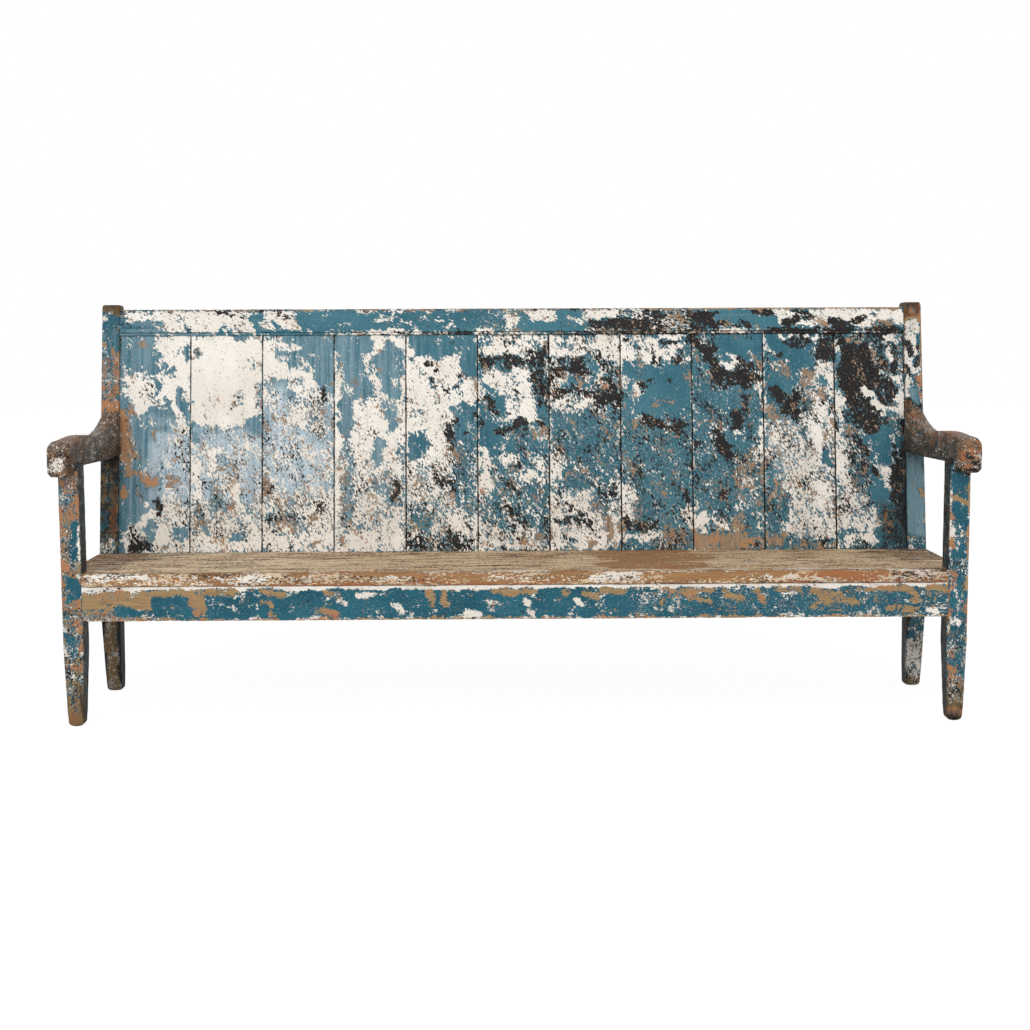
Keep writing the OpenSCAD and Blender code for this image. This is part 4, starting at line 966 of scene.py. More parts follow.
    bump = add(tree, "ShaderNodeBump", {}, {
        "Strength": 0.7, "Distance": 0.5 * MM, "Height": height.outputs[0]})
    surface = add(tree, "ShaderNodeBsdfPrincipled", {}, {
        "Base Color": colour, "Roughness": rough.outputs[0], "Normal": bump.outputs[0],
        "Specular IOR Level": 0.2, "IOR": 1.5})
    add(tree, "ShaderNodeOutputMaterial", {}, {0: surface.outputs[0]})
    return material


def back_paint():
    """Oil paint brushed on pine boards: blue over cream over black. Matt and chalky, with a pale
    bloom, and flakes drawn out along the grain."""
    return layered("blue_oil_paint_on_boards", bpy.context.scene.settle_finishes.back)


def frame_paint():
    """Oil paint brushed on the legs, posts and apron: deep teal over cream. Smoother than the back,
    rubbed to orange-brown wood on the arrises."""
    return layered("teal_oil_paint_on_frame", bpy.context.scene.settle_finishes.frame)


def seat_wood():
    """Pine planks scrubbed bare by use: grey-brown, with dark open grain, and a last crust of old
    paint along the front edge."""
    return layered("scrubbed_pine_seat", bpy.context.scene.settle_finishes.seat)


def arm_wood():
    """Arms rubbed dark and glossy by hands: brown wood with dirt in its pores and chips of cream."""
    return layered("hand_worn_arm_wood", bpy.context.scene.settle_finishes.arms)


def rail_wood():
    """Unpainted pine of the hidden rails: dry, honey-brown and dusty, as it was sawn."""
    return layered("dry_inner_pine", bpy.context.scene.settle_finishes.rails)


def peg_wood():
    """Riven oak pegs: tight brown end grain, left rough from the axe."""
    return layered("riven_oak_pegs", bpy.context.scene.settle_finishes.pegs)


def nail_iron():
    """Forged iron nails gone to dry brown rust: pitted and nearly matt, with no bright metal left."""
    sizes = bpy.context.scene.settle
    material = bpy.data.materials.new("rusted_wrought_iron")
    material.use_nodes = True
    tree = material.node_tree
    tree.nodes.clear()
    grain = add(tree, "ShaderNodeAttribute", {"attribute_name": "grain"}, {}).outputs["Vector"]
    pits = add(tree, "ShaderNodeTexNoise", {}, {0: grain, "Scale": 1 / (1.5 * MM), "Detail": 5.0})
    rust = add(tree, "ShaderNodeMix", {"data_type": "RGBA"}, {
        0: pits.outputs[0], 6: tuple(sizes.nail_dark), 7: tuple(sizes.nail_rust)})
    bump = add(tree, "ShaderNodeBump", {}, {
        "Strength": 0.6, "Distance": 0.3 * MM, "Height": pits.outputs[0]})
    surface = add(tree, "ShaderNodeBsdfPrincipled", {}, {
        "Base Color": rust.outputs[2], "Metallic": 0.6, "Roughness": 0.7, "Normal": bump.outputs[0]})
    add(tree, "ShaderNodeOutputMaterial", {}, {0: surface.outputs[0]})
    return material


def prism(profile, places, insets, waver, seed):
    """A straight timber: its outline carried along places, drawn in by insets at the ends and by chips
    of depth waver on its arrises. Gives across, through, along and nearness to an arris on a grid."""
    points, worn = profile
    if clockwise(points):
        points, worn = points[::-1], worn[::-1]
    normal = outwards(points)
    s = np.repeat(places[:, None], len(points), 1)
    a = points[:, 0] + 0 * s
    b = points[:, 1] + 0 * s
    worn = worn + 0 * s
    chips = np.maximum(waves(seed, 45 * MM, a, b, s), 0)
    chips = chips + 0.5 * np.maximum(waves(seed + 1, 14 * MM, a, b, s), 0)
    inward = insets[:, None] + worn * waver * chips
    return a - normal[:, 0] * inward, b - normal[:, 1] * inward, s, worn


def board_section(side, step):
    """A back board's section, seen along the slope, with a groove on the edge nearer to the bench's
    middle and a tongue on the other. The middle board, step 0, has two tongues, and the last board has
    none. Gives the outline and how far those two edges are from the middle."""
    last = BOARD_COUNT // 2
    inner = (step - 0.5) * BOARD_PITCH + BOARD_JOINT / 2
    outer = (step + 0.5) * BOARD_PITCH - BOARD_JOINT / 2
    if step == last:
        outer = POST_IN + HOUSING_D - FIT_GAP
    front, back = BOARD_RECESS, BOARD_RECESS + BOARD_T
    low, high = front + (BOARD_T - TONGUE_T) / 2, front + (BOARD_T + TONGUE_T) / 2
    arris, keen, blunt = 1.8 * MM, 0.3 * MM, 0.8 * MM
    tip = outer + TONGUE_L
    tongue = [(outer, low, keen), (tip, low, blunt), (tip, high, blunt), (outer, high, keen)]
    if step == last:
        tongue = []
    groove = TONGUE_L - BOARD_JOINT + MM
    inner_side = [(inner, high + FIT_GAP, keen), (inner + groove, high + FIT_GAP, keen),
                  (inner + groove, low - FIT_GAP, keen), (inner, low - FIT_GAP, keen)]
    if step == 0:
        inner_side = [(-x, y, radius) for x, y, radius in tongue][::-1]
    corners = [(inner, front, arris), (outer, front, arris)] + tongue
    corners += [(outer, back, arris), (inner, back, arris)] + inner_side
    return outline([(side * x, y, radius) for x, y, radius in corners]), inner, outer


def board(number, material):
    """One back board: its section with tongue and groove carried up the slope of the back, a little
    uneven on the face."""
    centre = (BOARD_COUNT + 1) // 2
    side = -1 if number < centre else 1
    profile, inner, outer = board_section(side, abs(number - centre))
    front = BOARD_RECESS
    places, insets = stations(-HOUSING_D, BACK_H + HOUSING_D - MM, step=6 * MM, ease=0.5 * MM)
    a, b, s, worn = prism(profile, places, insets, bpy.context.scene.settle.board_chips, number * 7)
    middle = side * (inner + outer) / 2
    face = b < front + 2 * MM
    b = b + np.where(face, 0.5 * MM * (1 + waves(number, 160 * MM, a, s)) / 2, 0)
    worn = worn * (abs(a - middle) > (outer - inner) / 2 - 12 * MM)
    layers = coated("B", a.shape)
    layers = patched(layers, a, s, BACK_PATCHES, BOARD_PITCH, BACK_H, -HALF_BACK, *BACK_EDGE, face)
    pale_end = np.clip((centre - number) / 2, 0, 1)
    layers[..., BLOOM] = np.maximum(layers[..., BLOOM], 0.30 * pale_end)
    layers = where_hidden(layers, b > front + 3 * MM, number, a, s)
    chipped = waves(number + 50, 45 * MM, a, s)
    layers = rubbed(layers, worn * (a < middle), cream=0.6, wood=0.1, wander=chipped)
    layers = rubbed(layers, worn * (a > middle), cream=0.1, wood=0.25, wander=chipped)
    edge = (outer - inner) / 2 - abs(a - middle)
    # A black line round each board: dirt in its joints, and at its head a painted shadow under the rail
    close = np.minimum(edge - 0.9 * MM, np.minimum(s, BACK_H - s) - MM)
    near_post = np.minimum(close, POST_IN - abs(a) - 2 * MM)
    layers = blackened(layers, near_post, waves(number + 70, 24 * MM, a, s), most=0.4 + 0.07 * number)
    # Painted shade in the boards' lower corners beside the posts
    shade = np.exp(-np.maximum(POST_IN - abs(a), 0) / (26 * MM)) * np.clip((0.30 - s) / 0.12, 0, 1)
    layers[..., GRIME_AND_SHADE] += shade * CORNER_SHADE[side]
    name = f"back_board_{number:02d}"
    surface = (lean(a, b, s), grained(number, a, b, s), layers)
    return shell(name + "_worn", [surface], material, [name])


def top_rail(material):
    """The top rail: its section with bead, quirk and the groove over the boards, carried from post to
    post along the slope's head."""
    front, back = RAIL_RECESS, RAIL_RECESS + RAIL_T
    low, high = BACK_H, BACK_H + RAIL_H
    groove_front, groove_back = BOARD_RECESS - FIT_GAP, BOARD_RECESS + BOARD_T + FIT_GAP
    bead_top = low + 2 * BEAD_R
    corners = [
        (front, low, BEAD_R * 0.9), (groove_front, low, 0.3 * MM), (groove_front, low + HOUSING_D, 0.3 * MM),
        (groove_back, low + HOUSING_D, 0.3 * MM), (groove_back, low, 0.3 * MM), (back, low, 1.5 * MM),
        (back, high, 3 * MM), (front, high, 3.5 * MM), (front, bead_top + QUIRK, 0.8 * MM),
        (front + QUIRK, bead_top + QUIRK / 2, 0.4 * MM), (front + 0.2 * MM, bead_top, 1.6 * MM),
    ]
    places, insets = stations(-POST_IN, POST_IN, step=7 * MM, ease=0.4 * MM)
    chips = bpy.context.scene.settle.rail_chips
    a, b, s, worn = prism(outline(corners), places, insets, chips, RAIL_SEED + 1)
    layers = coated("B", a.shape)
    face = np.clip(1 - (a - front - 3 * MM) / (4 * MM), 0, 1)
    layers = patched(layers, s, b - low, RAIL_PATCHES, BOARD_PITCH, RAIL_H, -HALF_BACK, *RAIL_EDGE, face)
    layers = where_hidden(layers, a > back - 2 * MM, RAIL_SEED + 10, s, b)
    top = np.clip((b - high + 2.5 * MM) / (2 * MM), 0, 1)
    layers = rubbed(layers, top, cream=0.2, wood=0.7, wander=waves(RAIL_SEED + 2, 260 * MM, s, a))
    # Black in the quirk: dirt and painted shade
    quirk = abs(b - bead_top - QUIRK / 2) - QUIRK / 2
    layers = blackened(layers, quirk, waves(RAIL_SEED + 4, 30 * MM, s, b))
    layers = rubbed(layers, worn * (1 - top), cream=0.2, wood=0.2, wander=waves(RAIL_SEED + 3, 60 * MM, s, b))
    tenon_low = (RAIL_RECESS + (RAIL_T - TENON_T) / 2, low + HOUSING_D + SHOULDER)
    tenon_high = (RAIL_RECESS + (RAIL_T + TENON_T) / 2, high - SHOULDER)
    a, b, s, layers = tenoned(a, b, s, layers, tenon_low, tenon_high, TENON_L)
    surface = (lean(s, a, b), grained(RAIL_SEED, b, a, s), layers)
    return shell("top_rail_worn", [surface], material, ["top_rail"])


def seat_plank(corners, notch_in, notch_at, cut_front):
    """A seat plank: its section carried along the bench, cut short beyond notch_in by the square
    notches round the legs or posts, and ends that follow the line from leg to post."""
    points, worn = outline(corners, step=7 * MM)
    if clockwise(points):
        points, worn = points[::-1], worn[::-1]
    y, z = points[:, 0], points[:, 1]
    lost = (y < notch_at) if cut_front else (y > notch_at)
    held = np.where(lost, notch_at, y)
    flat_z = np.where(lost & (z > PLANK_LOW + 5 * MM), np.maximum(z, SEAT_TOP - 0.01 * MM), z)
    reach = LEG_OUT + (POST_OUT - LEG_OUT) * np.clip((held - LEG_BACK) / (POST_FACE - LEG_BACK), 0, 1)
    count = math.ceil((2 * notch_in + 4 * MM) / (8 * MM))
    inside = np.linspace(-notch_in, notch_in, count)
    x_out = notch_in + (reach - notch_in) * np.linspace(0, 1, 9)[:, None]
    arris = np.array([[-1.6 * MM], [-0.5 * MM]])
    right = np.concatenate([x_out[:-1], x_out[-1:] + arris, x_out[-1:]])
    x = np.concatenate([-right[::-1], np.repeat(inside[:, None], len(y), 1), right])
    cut_y, cut_z = (np.tile(row, (len(right), 1)) for row in (held, flat_z))
    a = np.concatenate([cut_y, np.tile(y, (count, 1)), cut_y])
    b = np.concatenate([cut_z, np.tile(z, (count, 1)), cut_z])
    middle = (SEAT_TOP + PLANK_LOW) / 2
    for row, drop in ((0, 1.8 * MM), (1, 0.5 * MM), (-1, 1.8 * MM), (-2, 0.5 * MM)):
        b[row] -= np.sign(b[row] - middle) * np.minimum(drop, abs(b[row] - middle))
    return x, a, b, worn + 0 * x


def seat_coat(x, y, z, worn, seed):
    """Finish of the seat at its points: scrubbed wood that is pale at the left, patches along the front
    edge, painted shade in the dark coat beside the back and in the corners, and black dirt and painted
    shade under the nosing."""
    layers = coated("B", x.shape)
    layers[..., WOOD] = 0.14 + 0.20 * waves(seed + 3, 300 * MM, x, y)
    layers[..., BLACK] = 0.25 + 0.17 * waves(seed + 5, 200 * MM, x, y * 3)
    layers[..., CREAM] = -0.05
    layers[..., BLOOM] = 0.75 * np.clip((-0.15 - x) / 0.6, 0, 1)
    from_edge = (y - FRONT) + (z - SEAT_TOP)
    not_below = np.where((z > SEAT_TOP - 18 * MM) | (y < FRONT + 6 * MM), 1.0, 0.0)
    layers = patched(layers, x, from_edge, SEAT_PATCHES, BOARD_PITCH, MM, -HALF_BACK, *SEAT_EDGE, not_below)
    # Painted shade in the dark coat beside the back and in the corners by the posts
    dark = np.clip(1 - (POST_FACE + 12 * MM - y) / (70 * MM), 0, 1) * 0.2
    corner = np.clip((abs(x) - 0.9) / 0.25, 0, 1)
    layers[..., BLACK] += dark + 0.24 * corner * np.clip(from_edge / 0.3, 0, 1)
    rub = waves(seed + 4, 80 * MM, x, z)
    layers = rubbed(layers, worn * (y < FRONT + 20 * MM), cream=0.1, wood=0.1, wander=rub)
    # Black under the front edge: dirt and painted shade under the nosing
    under_edge = np.where(y < FRONT + 4 * MM, z - PLANK_LOW - 1.5 * MM, MM)
    return blackened(layers, under_edge, waves(seed + 6, 60 * MM, x, z))


def seat(material):
    """The two seat planks. The front one has a rounded, chipped front edge, and the rear one a groove
    for the boards. Both are worn hollow by dip (1 + wander) / 2."""
    sizes = bpy.context.scene.settle
    top, low = SEAT_TOP, PLANK_LOW
    front_corners = [
        (FRONT, low, 3 * MM), (PLANK_JOINT, low, 1.2 * MM), (PLANK_JOINT, top, 1.6 * MM),
        (FRONT, top, 10.5 * MM),
    ]
    groove = POST_FACE + (BOARD_RECESS - FIT_GAP) / math.cos(RAKE)
    groove_back = groove + (BOARD_T + 2 * FIT_GAP) / math.cos(RAKE)
    rear_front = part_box("rear_seat_plank")[0].y
    run = HOUSING_D * math.tan(RAKE)
    rear_corners = [
        (rear_front, low, 1.2 * MM), (SEAT_BACK, low, 2 * MM), (SEAT_BACK, top, 2 * MM),
        (groove_back, top, 0.4 * MM), (groove_back - run, top - HOUSING_D, 0.4 * MM),
        (groove - run, top - HOUSING_D, 0.4 * MM), (groove, top, 0.4 * MM), (rear_front, top, 1.6 * MM),
    ]
    for name, corners, notch_in, notch_at, seed in (
        ("front_seat_plank", front_corners, LEG_IN - FIT_GAP, LEG_BACK + FIT_GAP, SEAT_SEED),
        ("rear_seat_plank", rear_corners, POST_IN - FIT_GAP, POST_FACE - FIT_GAP, SEAT_SEED + 1),
    ):
        x, y, z, worn = seat_plank(corners, notch_in, notch_at, name == "front_seat_plank")
        dip = sizes.seat_dip * (1 + waves(seed, 300 * MM, x, y)) / 2
        dip = dip + sizes.seat_chips * worn * np.maximum(waves(seed + 9, 40 * MM, x, y, z), 0)
        z = z - np.where(z > SEAT_TOP - 14 * MM, dip, 0)
        surface = (np.stack([x, y, z], -1), grained(seed, y, z, x), seat_coat(x, y, z, worn, seed))
        shell(name + "_worn", [surface], material, [name])


def apron(material):
    """The apron: a rectangle with worn arrises carried from leg to leg, with a tenon at each end."""
    low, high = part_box("front_apron")
    y0, y1 = low.y, high.y
    corners = [(y0, low.z, 2.5 * MM), (y1, low.z, 1.5 * MM), (y1, high.z, 1 * MM), (y0, high.z, 4 * MM)]
    places, insets = stations(-LEG_IN, LEG_IN, step=7 * MM, ease=0.2 * MM)
    chips = bpy.context.scene.settle.apron_chips
    a, b, s, worn = prism(outline(corners), places, insets, chips, APRON_SEED + 1)
    layers = coated("B", a.shape)
    face = np.clip(1 - (a - y0 - 3 * MM) / (3 * MM), 0, 1)
    layers = patched(layers, s, b - low.z, APRON_PATCHES, BOARD_PITCH, high.z - low.z, -HALF_BACK,
                     *APRON_EDGE, face)
    rear = a > y0 + 8 * MM
    layers[rear] = np.array(KINDS["W"])
    layers[rear, GRIME_AND_SHADE] = 0.25
    rub = waves(APRON_SEED + 2, 90 * MM, s, b)
    layers = rubbed(layers, worn * (a < y0 + 8 * MM), cream=0.34, wood=0.1, wander=rub)
    middle = (y0 + y1) / 2
    tenon_low = (middle - TENON_T / 2, low.z + SHOULDER)
    tenon_high = (middle + TENON_T / 2, high.z - SHOULDER)
    a, b, s, layers = tenoned(a, b, s, layers, tenon_low, tenon_high, TENON_L)
    surface = (np.stack([s, a, b], -1), grained(APRON_SEED, b, a, s), layers)
    return shell("front_apron_worn", [surface], material, ["front_apron"])


def member_coat(inner, seed, along, across):
    """Paint of a leg's sides before its patches: sooty black with painted shade where it faces the seat,
    and elsewhere whole, with broad worn patches whose share is 0.1 + 0.3 wander."""
    layers = coated("F", inner.shape)
    layers[..., WOOD] = 0.1 + 0.3 * waves(seed + 7, 200 * MM, along, across)
    # Sooty black and painted shade on the faces towards the seat
    layers[inner] = np.array(KINDS["T"])
    return layers


def front_leg(side, material):
    """A front leg: a rounded rectangle that narrows from the taper's start to the foot, carried from
    floor to arm, with a tenon on top."""
    name = "front_leg_" + SIDES[side]
    places, insets = stations(0.0, ARM_Z + 6 * MM, step=6 * MM, ease=12 * MM)
    insets = np.where(places > ARM_Z / 2, 0, insets)[:, None]
    s = places[:, None]
    grow = np.clip(s / TAPER_H, 0, 1)
    wide = FOOT_W + (LEG_OUT - LEG_IN - FOOT_W) * grow
    deep = FOOT_D + (LEG_BACK - FRONT - FOOT_D) * grow
    waver = abs(0.5 * MM * waves(LEG_SEED + side, 120 * MM, s))
    radius = 3.2 * MM + 1.4 * MM * waves(LEG_SEED + 10 + side, 60 * MM, s) ** 2
    radius = radius + 6 * MM * np.clip(1 - s / (40 * MM), 0, 1)
    rim = rounded(LEG_OUT - LEG_IN, LEG_BACK - FRONT)
    a, b, worn = swept(rim, wide / 2 - insets - waver, deep / 2 - insets - waver / 2, radius)
    a, b, s, worn = closing(a, b + FRONT + deep / 2, s + 0 * a, worn)
    layers = member_coat(side * a < -18 * MM, LEG_SEED + side, s, b + a)
    patches = LEFT_LEG_PATCHES if side < 0 else RIGHT_LEG_PATCHES
    front_face = np.clip(1 - (b - FRONT - 4 * MM) / (4 * MM), 0, 1)
    layers = patched(layers, a, s, patches, HALF_MEMBER, MM, 0.0, *MEMBER_EDGE, front_face)
    foot = np.clip(1 - s / (70 * MM), 0, 1)
    under_arm = np.clip((s - ARM_Z + 15 * MM) / (15 * MM), 0, 1)
    layers[..., WOOD] += foot * (1 - front_face) * 0.6
    # Painted shade under the arm at the leg's top, and darker towards the floor and the foot
    layers[..., GRIME_AND_SHADE] += 0.22 * np.clip(1.6 - s / (80 * MM), 0, 1) + 0.25 * foot + 0.3 * under_arm
    layers = rubbed(layers, worn, cream=0.14, wood=0.16, wander=waves(LEG_SEED + 20 + side, 50 * MM, s, a))
    middle = (LEG_IN + LEG_OUT) / 2 * side
    surface = (np.stack([a + middle, b, s], -1), grained(LEG_SEED + side, a, b, s), layers)
    return shell(name + "_worn", [surface, leg_tenon(side)], material, [name])


def leg_tenon(side):
    """The tenon on a front leg's top: a small rounded rectangle carried up into the arm."""
    wide, deep, radius = 20 * MM, 40 * MM, 1 * MM
    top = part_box("front_leg_" + SIDES[side])[1].z
    places = np.array([ARM_Z - 6 * MM, ARM_Z, top - 1.5 * MM, top])
    inset = np.array([0, 0, 0, 1.2 * MM])[:, None]
    a, b, _ = swept(rounded(wide, deep, step=20 * MM), wide / 2 - inset, deep / 2 - inset, radius)
    a = a + side * (max(LEG_IN, ARM_IN) + min(LEG_OUT, ARM_OUT)) / 2
    b = b + (FRONT + LEG_BACK) / 2
    s = places[:, None] + 0 * a
    return np.stack([a, b, s], -1), grained(LEG_SEED + 40 + side, a, b, s), coated("W", a.shape)


def rear_post(side, material):
    """A rear post: upright below the seat and leaning above it, a level rounded rectangle carried from
    the floor to the top, whose faces follow straight lines between the heights where they turn."""
    name = "rear_post_" + SIDES[side]
    places, insets = stations(0.0, POST_TOP, step=6 * MM, ease=9 * MM)
    insets = np.where(places > POST_TOP / 2, insets * 0.6, insets)[:, None]
    s = places[:, None]
    run = (POST_TOP - SEAT_TOP) * math.tan(RAKE)
    heights = [0, TAPER_H, SEAT_TOP, POST_TOP]
    y_front = POST_FACE + np.interp(s, heights, [0, 0, 0, run])
    y_back = POST_FACE + np.interp(s, heights, [REAR_FOOT_D, POST_D, POST_D, run + POST_TOP_D])
    x_out = np.interp(s, heights, [POST_IN + REAR_FOOT_W, POST_OUT, POST_OUT, POST_OUT - 2 * MM])
    radius = 3.0 * MM + 1.3 * MM * waves(POST_SEED + 10 + side, 60 * MM, s) ** 2
    radius = radius + 7 * MM * np.clip(1 - s / (60 * MM), 0, 1)
    rim = rounded(POST_OUT - POST_IN, POST_D)
    a, local_b, worn = swept(rim, (x_out - POST_IN) / 2 - insets, (y_back - y_front) / 2 - insets, radius)
    s = s + 0 * a
    middle_y, middle_x, _, _ = closing((y_front + y_back) / 2 + 0 * a, (x_out + POST_IN) / 2 + 0 * a, s, worn)
    a, local_b, s, worn = closing(a, local_b, s, worn)
    inner = side * a < -18 * MM
    layers = member_coat(inner & (s < SEAT_TOP), POST_SEED + side, s, a + local_b)
    # Above the seat the inner face is bare wood under grime and painted shade
    layers[inner & (s > SEAT_TOP)] = np.array(KINDS["G"])
    patches = LEFT_POST_PATCHES if side < 0 else RIGHT_POST_PATCHES
    front_face = np.where(local_b < -0.6 * abs(local_b).max(), 1.0, 0.0)
    layers = patched(layers, a, s, patches, HALF_MEMBER, MM, 0.0, *MEMBER_EDGE, front_face)
    layers = rubbed(layers, worn, cream=0.12, wood=0.16, wander=waves(POST_SEED + 20 + side, 50 * MM, s, a))
    top = np.clip((s - POST_TOP + 3 * MM) / (2 * MM), 0, 1)
    layers = rubbed(layers, top, cream=0.0, wood=0.6, wander=waves(POST_SEED + 30 + side, 30 * MM, s, a))
    # Painted shadow of the arm on the front face, and painted shade below the seat
    under_arm = np.exp(-abs(s - ARM_Z + 10 * MM) / (40 * MM)) * (s < ARM_Z + 10 * MM) * front_face
    below = np.clip((SEAT_TOP - 30 * MM - s) / (60 * MM), 0, 1)
    layers[..., GRIME_AND_SHADE] += 0.6 * under_arm + below * POST_SHADE_BELOW_SEAT[side]
    points = np.stack([side * middle_x + a, middle_y + local_b, s], -1)
    surface = (points, grained(POST_SEED + side, a, local_b, s), layers)
    return shell(name + "_worn", [surface], material, [name])


def arm_heights(y):
    """Top and underside of an arm at y behind the front legs' faces. The top follows the nose's full
    curve, z = centre + r (1 - |y / r| ^ n) ^ (1 / n), then the crest's arc and the sweep's circle, z =
    centre + or - sqrt(r^2 - (y - centre)^2). The underside sags a little between leg and post."""
    top = ARM_Z + ARM_T
    centre = top - NOSE_R
    hollow_y = POST_FACE - FRONT - HOLLOW_BACK
    ahead = np.minimum(abs(y + NOSE_OUT) / NOSE_R, 1)
    curve = NOSE_R * (1 - ahead ** NOSE_FULLNESS) ** (1 / NOSE_FULLNESS)
    nose_top = np.where(y < 0.02, centre + curve, -1)
    half_crest = (hollow_y + NOSE_OUT) / 2
    crest_r = (half_crest ** 2 + CREST_RISE ** 2) / (2 * CREST_RISE)
    crest = np.sqrt(np.maximum(crest_r ** 2 - (y - hollow_y + half_crest) ** 2, 0))
    crest = np.where((y > -NOSE_OUT) & (y < hollow_y), top + CREST_RISE - crest_r + crest, -1)
    sweep = np.sqrt(np.maximum(HOLLOW_R ** 2 - (y - hollow_y) ** 2, 0))
    sweep = np.where(y >= hollow_y, top + HOLLOW_R - sweep, -1)
    z_top = np.maximum(np.maximum(nose_top, crest), sweep)
    from_leg = np.clip((y - LEG_BACK + FRONT) / (40 * MM), 0, 1)
    to_post = np.clip((POST_FACE - FRONT - y) / (60 * MM), 0, 1)
    sag = ARM_SAG * np.sin(from_leg * math.pi / 2) * np.sin(to_post * math.pi / 2)
    z_low = np.where(y < 0, np.maximum(NOSE_LOW, centre - curve), ARM_Z - sag)
    z_top = np.where(y < -NOSE_OUT, np.maximum(z_top, centre + 6 * MM), z_top)
    return z_top, np.where(y < -NOSE_OUT, np.minimum(z_low, centre - 16 * MM), z_low)


def arm_coat(side, a, b, s):
    """Finish of an arm at its points: darker low down with painted shade, barer on top and on the nose,
    the top for wear and a painted highlight, with patches on the nose's front, and more black coat and
    painted shade towards the post."""
    nose = np.clip(1 - (s + 30 * MM) / (16 * MM), 0, 1)
    high = np.clip((b - ARM_Z - 30 * MM) / (30 * MM), 0, 1)
    inner = np.clip((-side * a - 12 * MM) / (10 * MM), 0, 1) * np.clip((s + 20 * MM) / (20 * MM), 0, 1)
    bare, bare_high, bare_nose, bloom, rust = ARM_LEVELS[side]
    layers = coated("B", a.shape)
    # Less black and more bare wood on top: wear, and a painted highlight
    layers[..., CREAM] = 0.16 - 0.07 * high
    layers[..., BLACK] = 0.40 - 0.34 * high - 0.1 * nose
    layers[..., WOOD] = bare + bare_high * high + bare_nose * nose
    layers[..., BLOOM] = bloom * inner
    layers[..., RUST] = rust
    patches = LEFT_NOSE_PATCHES if side < 0 else RIGHT_NOSE_PATCHES
    layers = patched(layers, a, b - NOSE_LOW, patches, HALF_NOSE, MM, 0.0, *NOSE_EDGE, nose)
    # More black coat and painted shade towards the post, and painted shade low down behind the nose
    at_post = np.clip((s - POST_FACE + FRONT + 30 * MM) / (30 * MM), 0, 1)
    layers[..., BLACK] += 0.3 * at_post
    layers[..., GRIT] = 0.85
    layers[..., GRIME_AND_SHADE] += 0.35 * at_post * (1 - high) + 0.3 * (1 - high) * (1 - nose)
    return layers


def arm(side, material):
    """An arm as upright rounded rectangles carried from nose to post. The nose is rounded off by
    ease (1 - sqrt(1 - (1 - t)^2)) at t of the ease behind its front, and flares to its outer side."""
    name = "arm_" + SIDES[side]
    nose_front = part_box(name)[0].y - FRONT
    end = POST_FACE - FRONT + 42 * MM
    near = nose_front + NOSE_R * (1 - np.cos(np.linspace(0, math.pi / 2, 10)))
    kept = [end, -0.05 * MM, 0.05 * MM, 3 * MM, 6 * MM]
    y = np.unique(np.concatenate([near, np.arange(near[-1] + 5 * MM, end, 6 * MM), kept]))
    z_top, z_low = arm_heights(y)
    from_nose = np.clip((y - nose_front) / NOSE_EASE, 0, 1)
    shrink = NOSE_EASE * (1 - np.sqrt(np.maximum(1 - (1 - from_nose) ** 2, 0)))
    flare = NOSE_FLARE * (1 - np.clip((y + 5 * MM) / (45 * MM), 0, 1)) ** 2
    half_x = ((ARM_OUT - ARM_IN) / 2 - shrink + flare)[:, None]
    half_z = ((z_top - z_low) / 2)[:, None]
    radius = np.minimum(np.minimum(NOSE_EASE, half_z * 0.9), half_x * 0.95)
    a, b, worn = swept(rounded(ARM_OUT - ARM_IN, 76 * MM, step=5 * MM), half_x, half_z, radius)
    a = a + side * flare[:, None]
    b = b + ((z_top + z_low) / 2)[:, None]
    a, b, s, worn = closing(a, b, y[:, None] + 0 * a, worn)
    dents = 0.7 * MM * waves(ARM_SEED + 10 + side, 45 * MM, a, b, s)
    b = b - abs(dents) * np.sign(b - (ARM_Z + ARM_T / 2))
    x = side * (ARM_IN + ARM_OUT) / 2 + a
    surface = (np.stack([x, s + FRONT, b], -1), grained(ARM_SEED + side, a, b, s), arm_coat(side, a, b, s))
    return shell(name + "_worn", [surface], material, [name])


def sawn_rail(name, axis, length, seed, material):
    """A hidden rail or bearer: a rectangle with keen arrises carried along its length, between the
    shoulders of its tenons. A rail's tenon has a thickness of its own, and a bearer's stub tenon is
    as thick as the bearer less its shoulders."""
    low, high = (np.array(corner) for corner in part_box(name))
    left, right = low[1 - axis], high[1 - axis]
    corners = [(left, low[2], MM), (right, low[2], MM), (right, high[2], MM), (left, high[2], MM)]
    places, insets = stations(low[axis] + length, high[axis] - length, step=12 * MM, ease=0.2 * MM)
    a, b, s, _ = prism(outline(corners, step=8 * MM), places, insets, waver=0.6 * MM, seed=seed)
    layers = coated("B", a.shape)
    layers[..., BLACK] = 0.12
    layers[..., WOOD] = 0.25
    middle = (left + right) / 2
    half = TENON_T / 2 if length == TENON_L else (right - left) / 2 - SHOULDER
    tenon_low = (middle - half, low[2] + SHOULDER)
    tenon_high = (middle + half, high[2] - SHOULDER)
    a, b, s, layers = tenoned(a, b, s, layers, tenon_low, tenon_high, length - FIT_GAP)
    points = np.stack((s, a, b) if axis == 0 else (a, s, b), -1)
    return shell(name + "_sawn", [(points, grained(seed, a, b, s), layers)], material, [name])


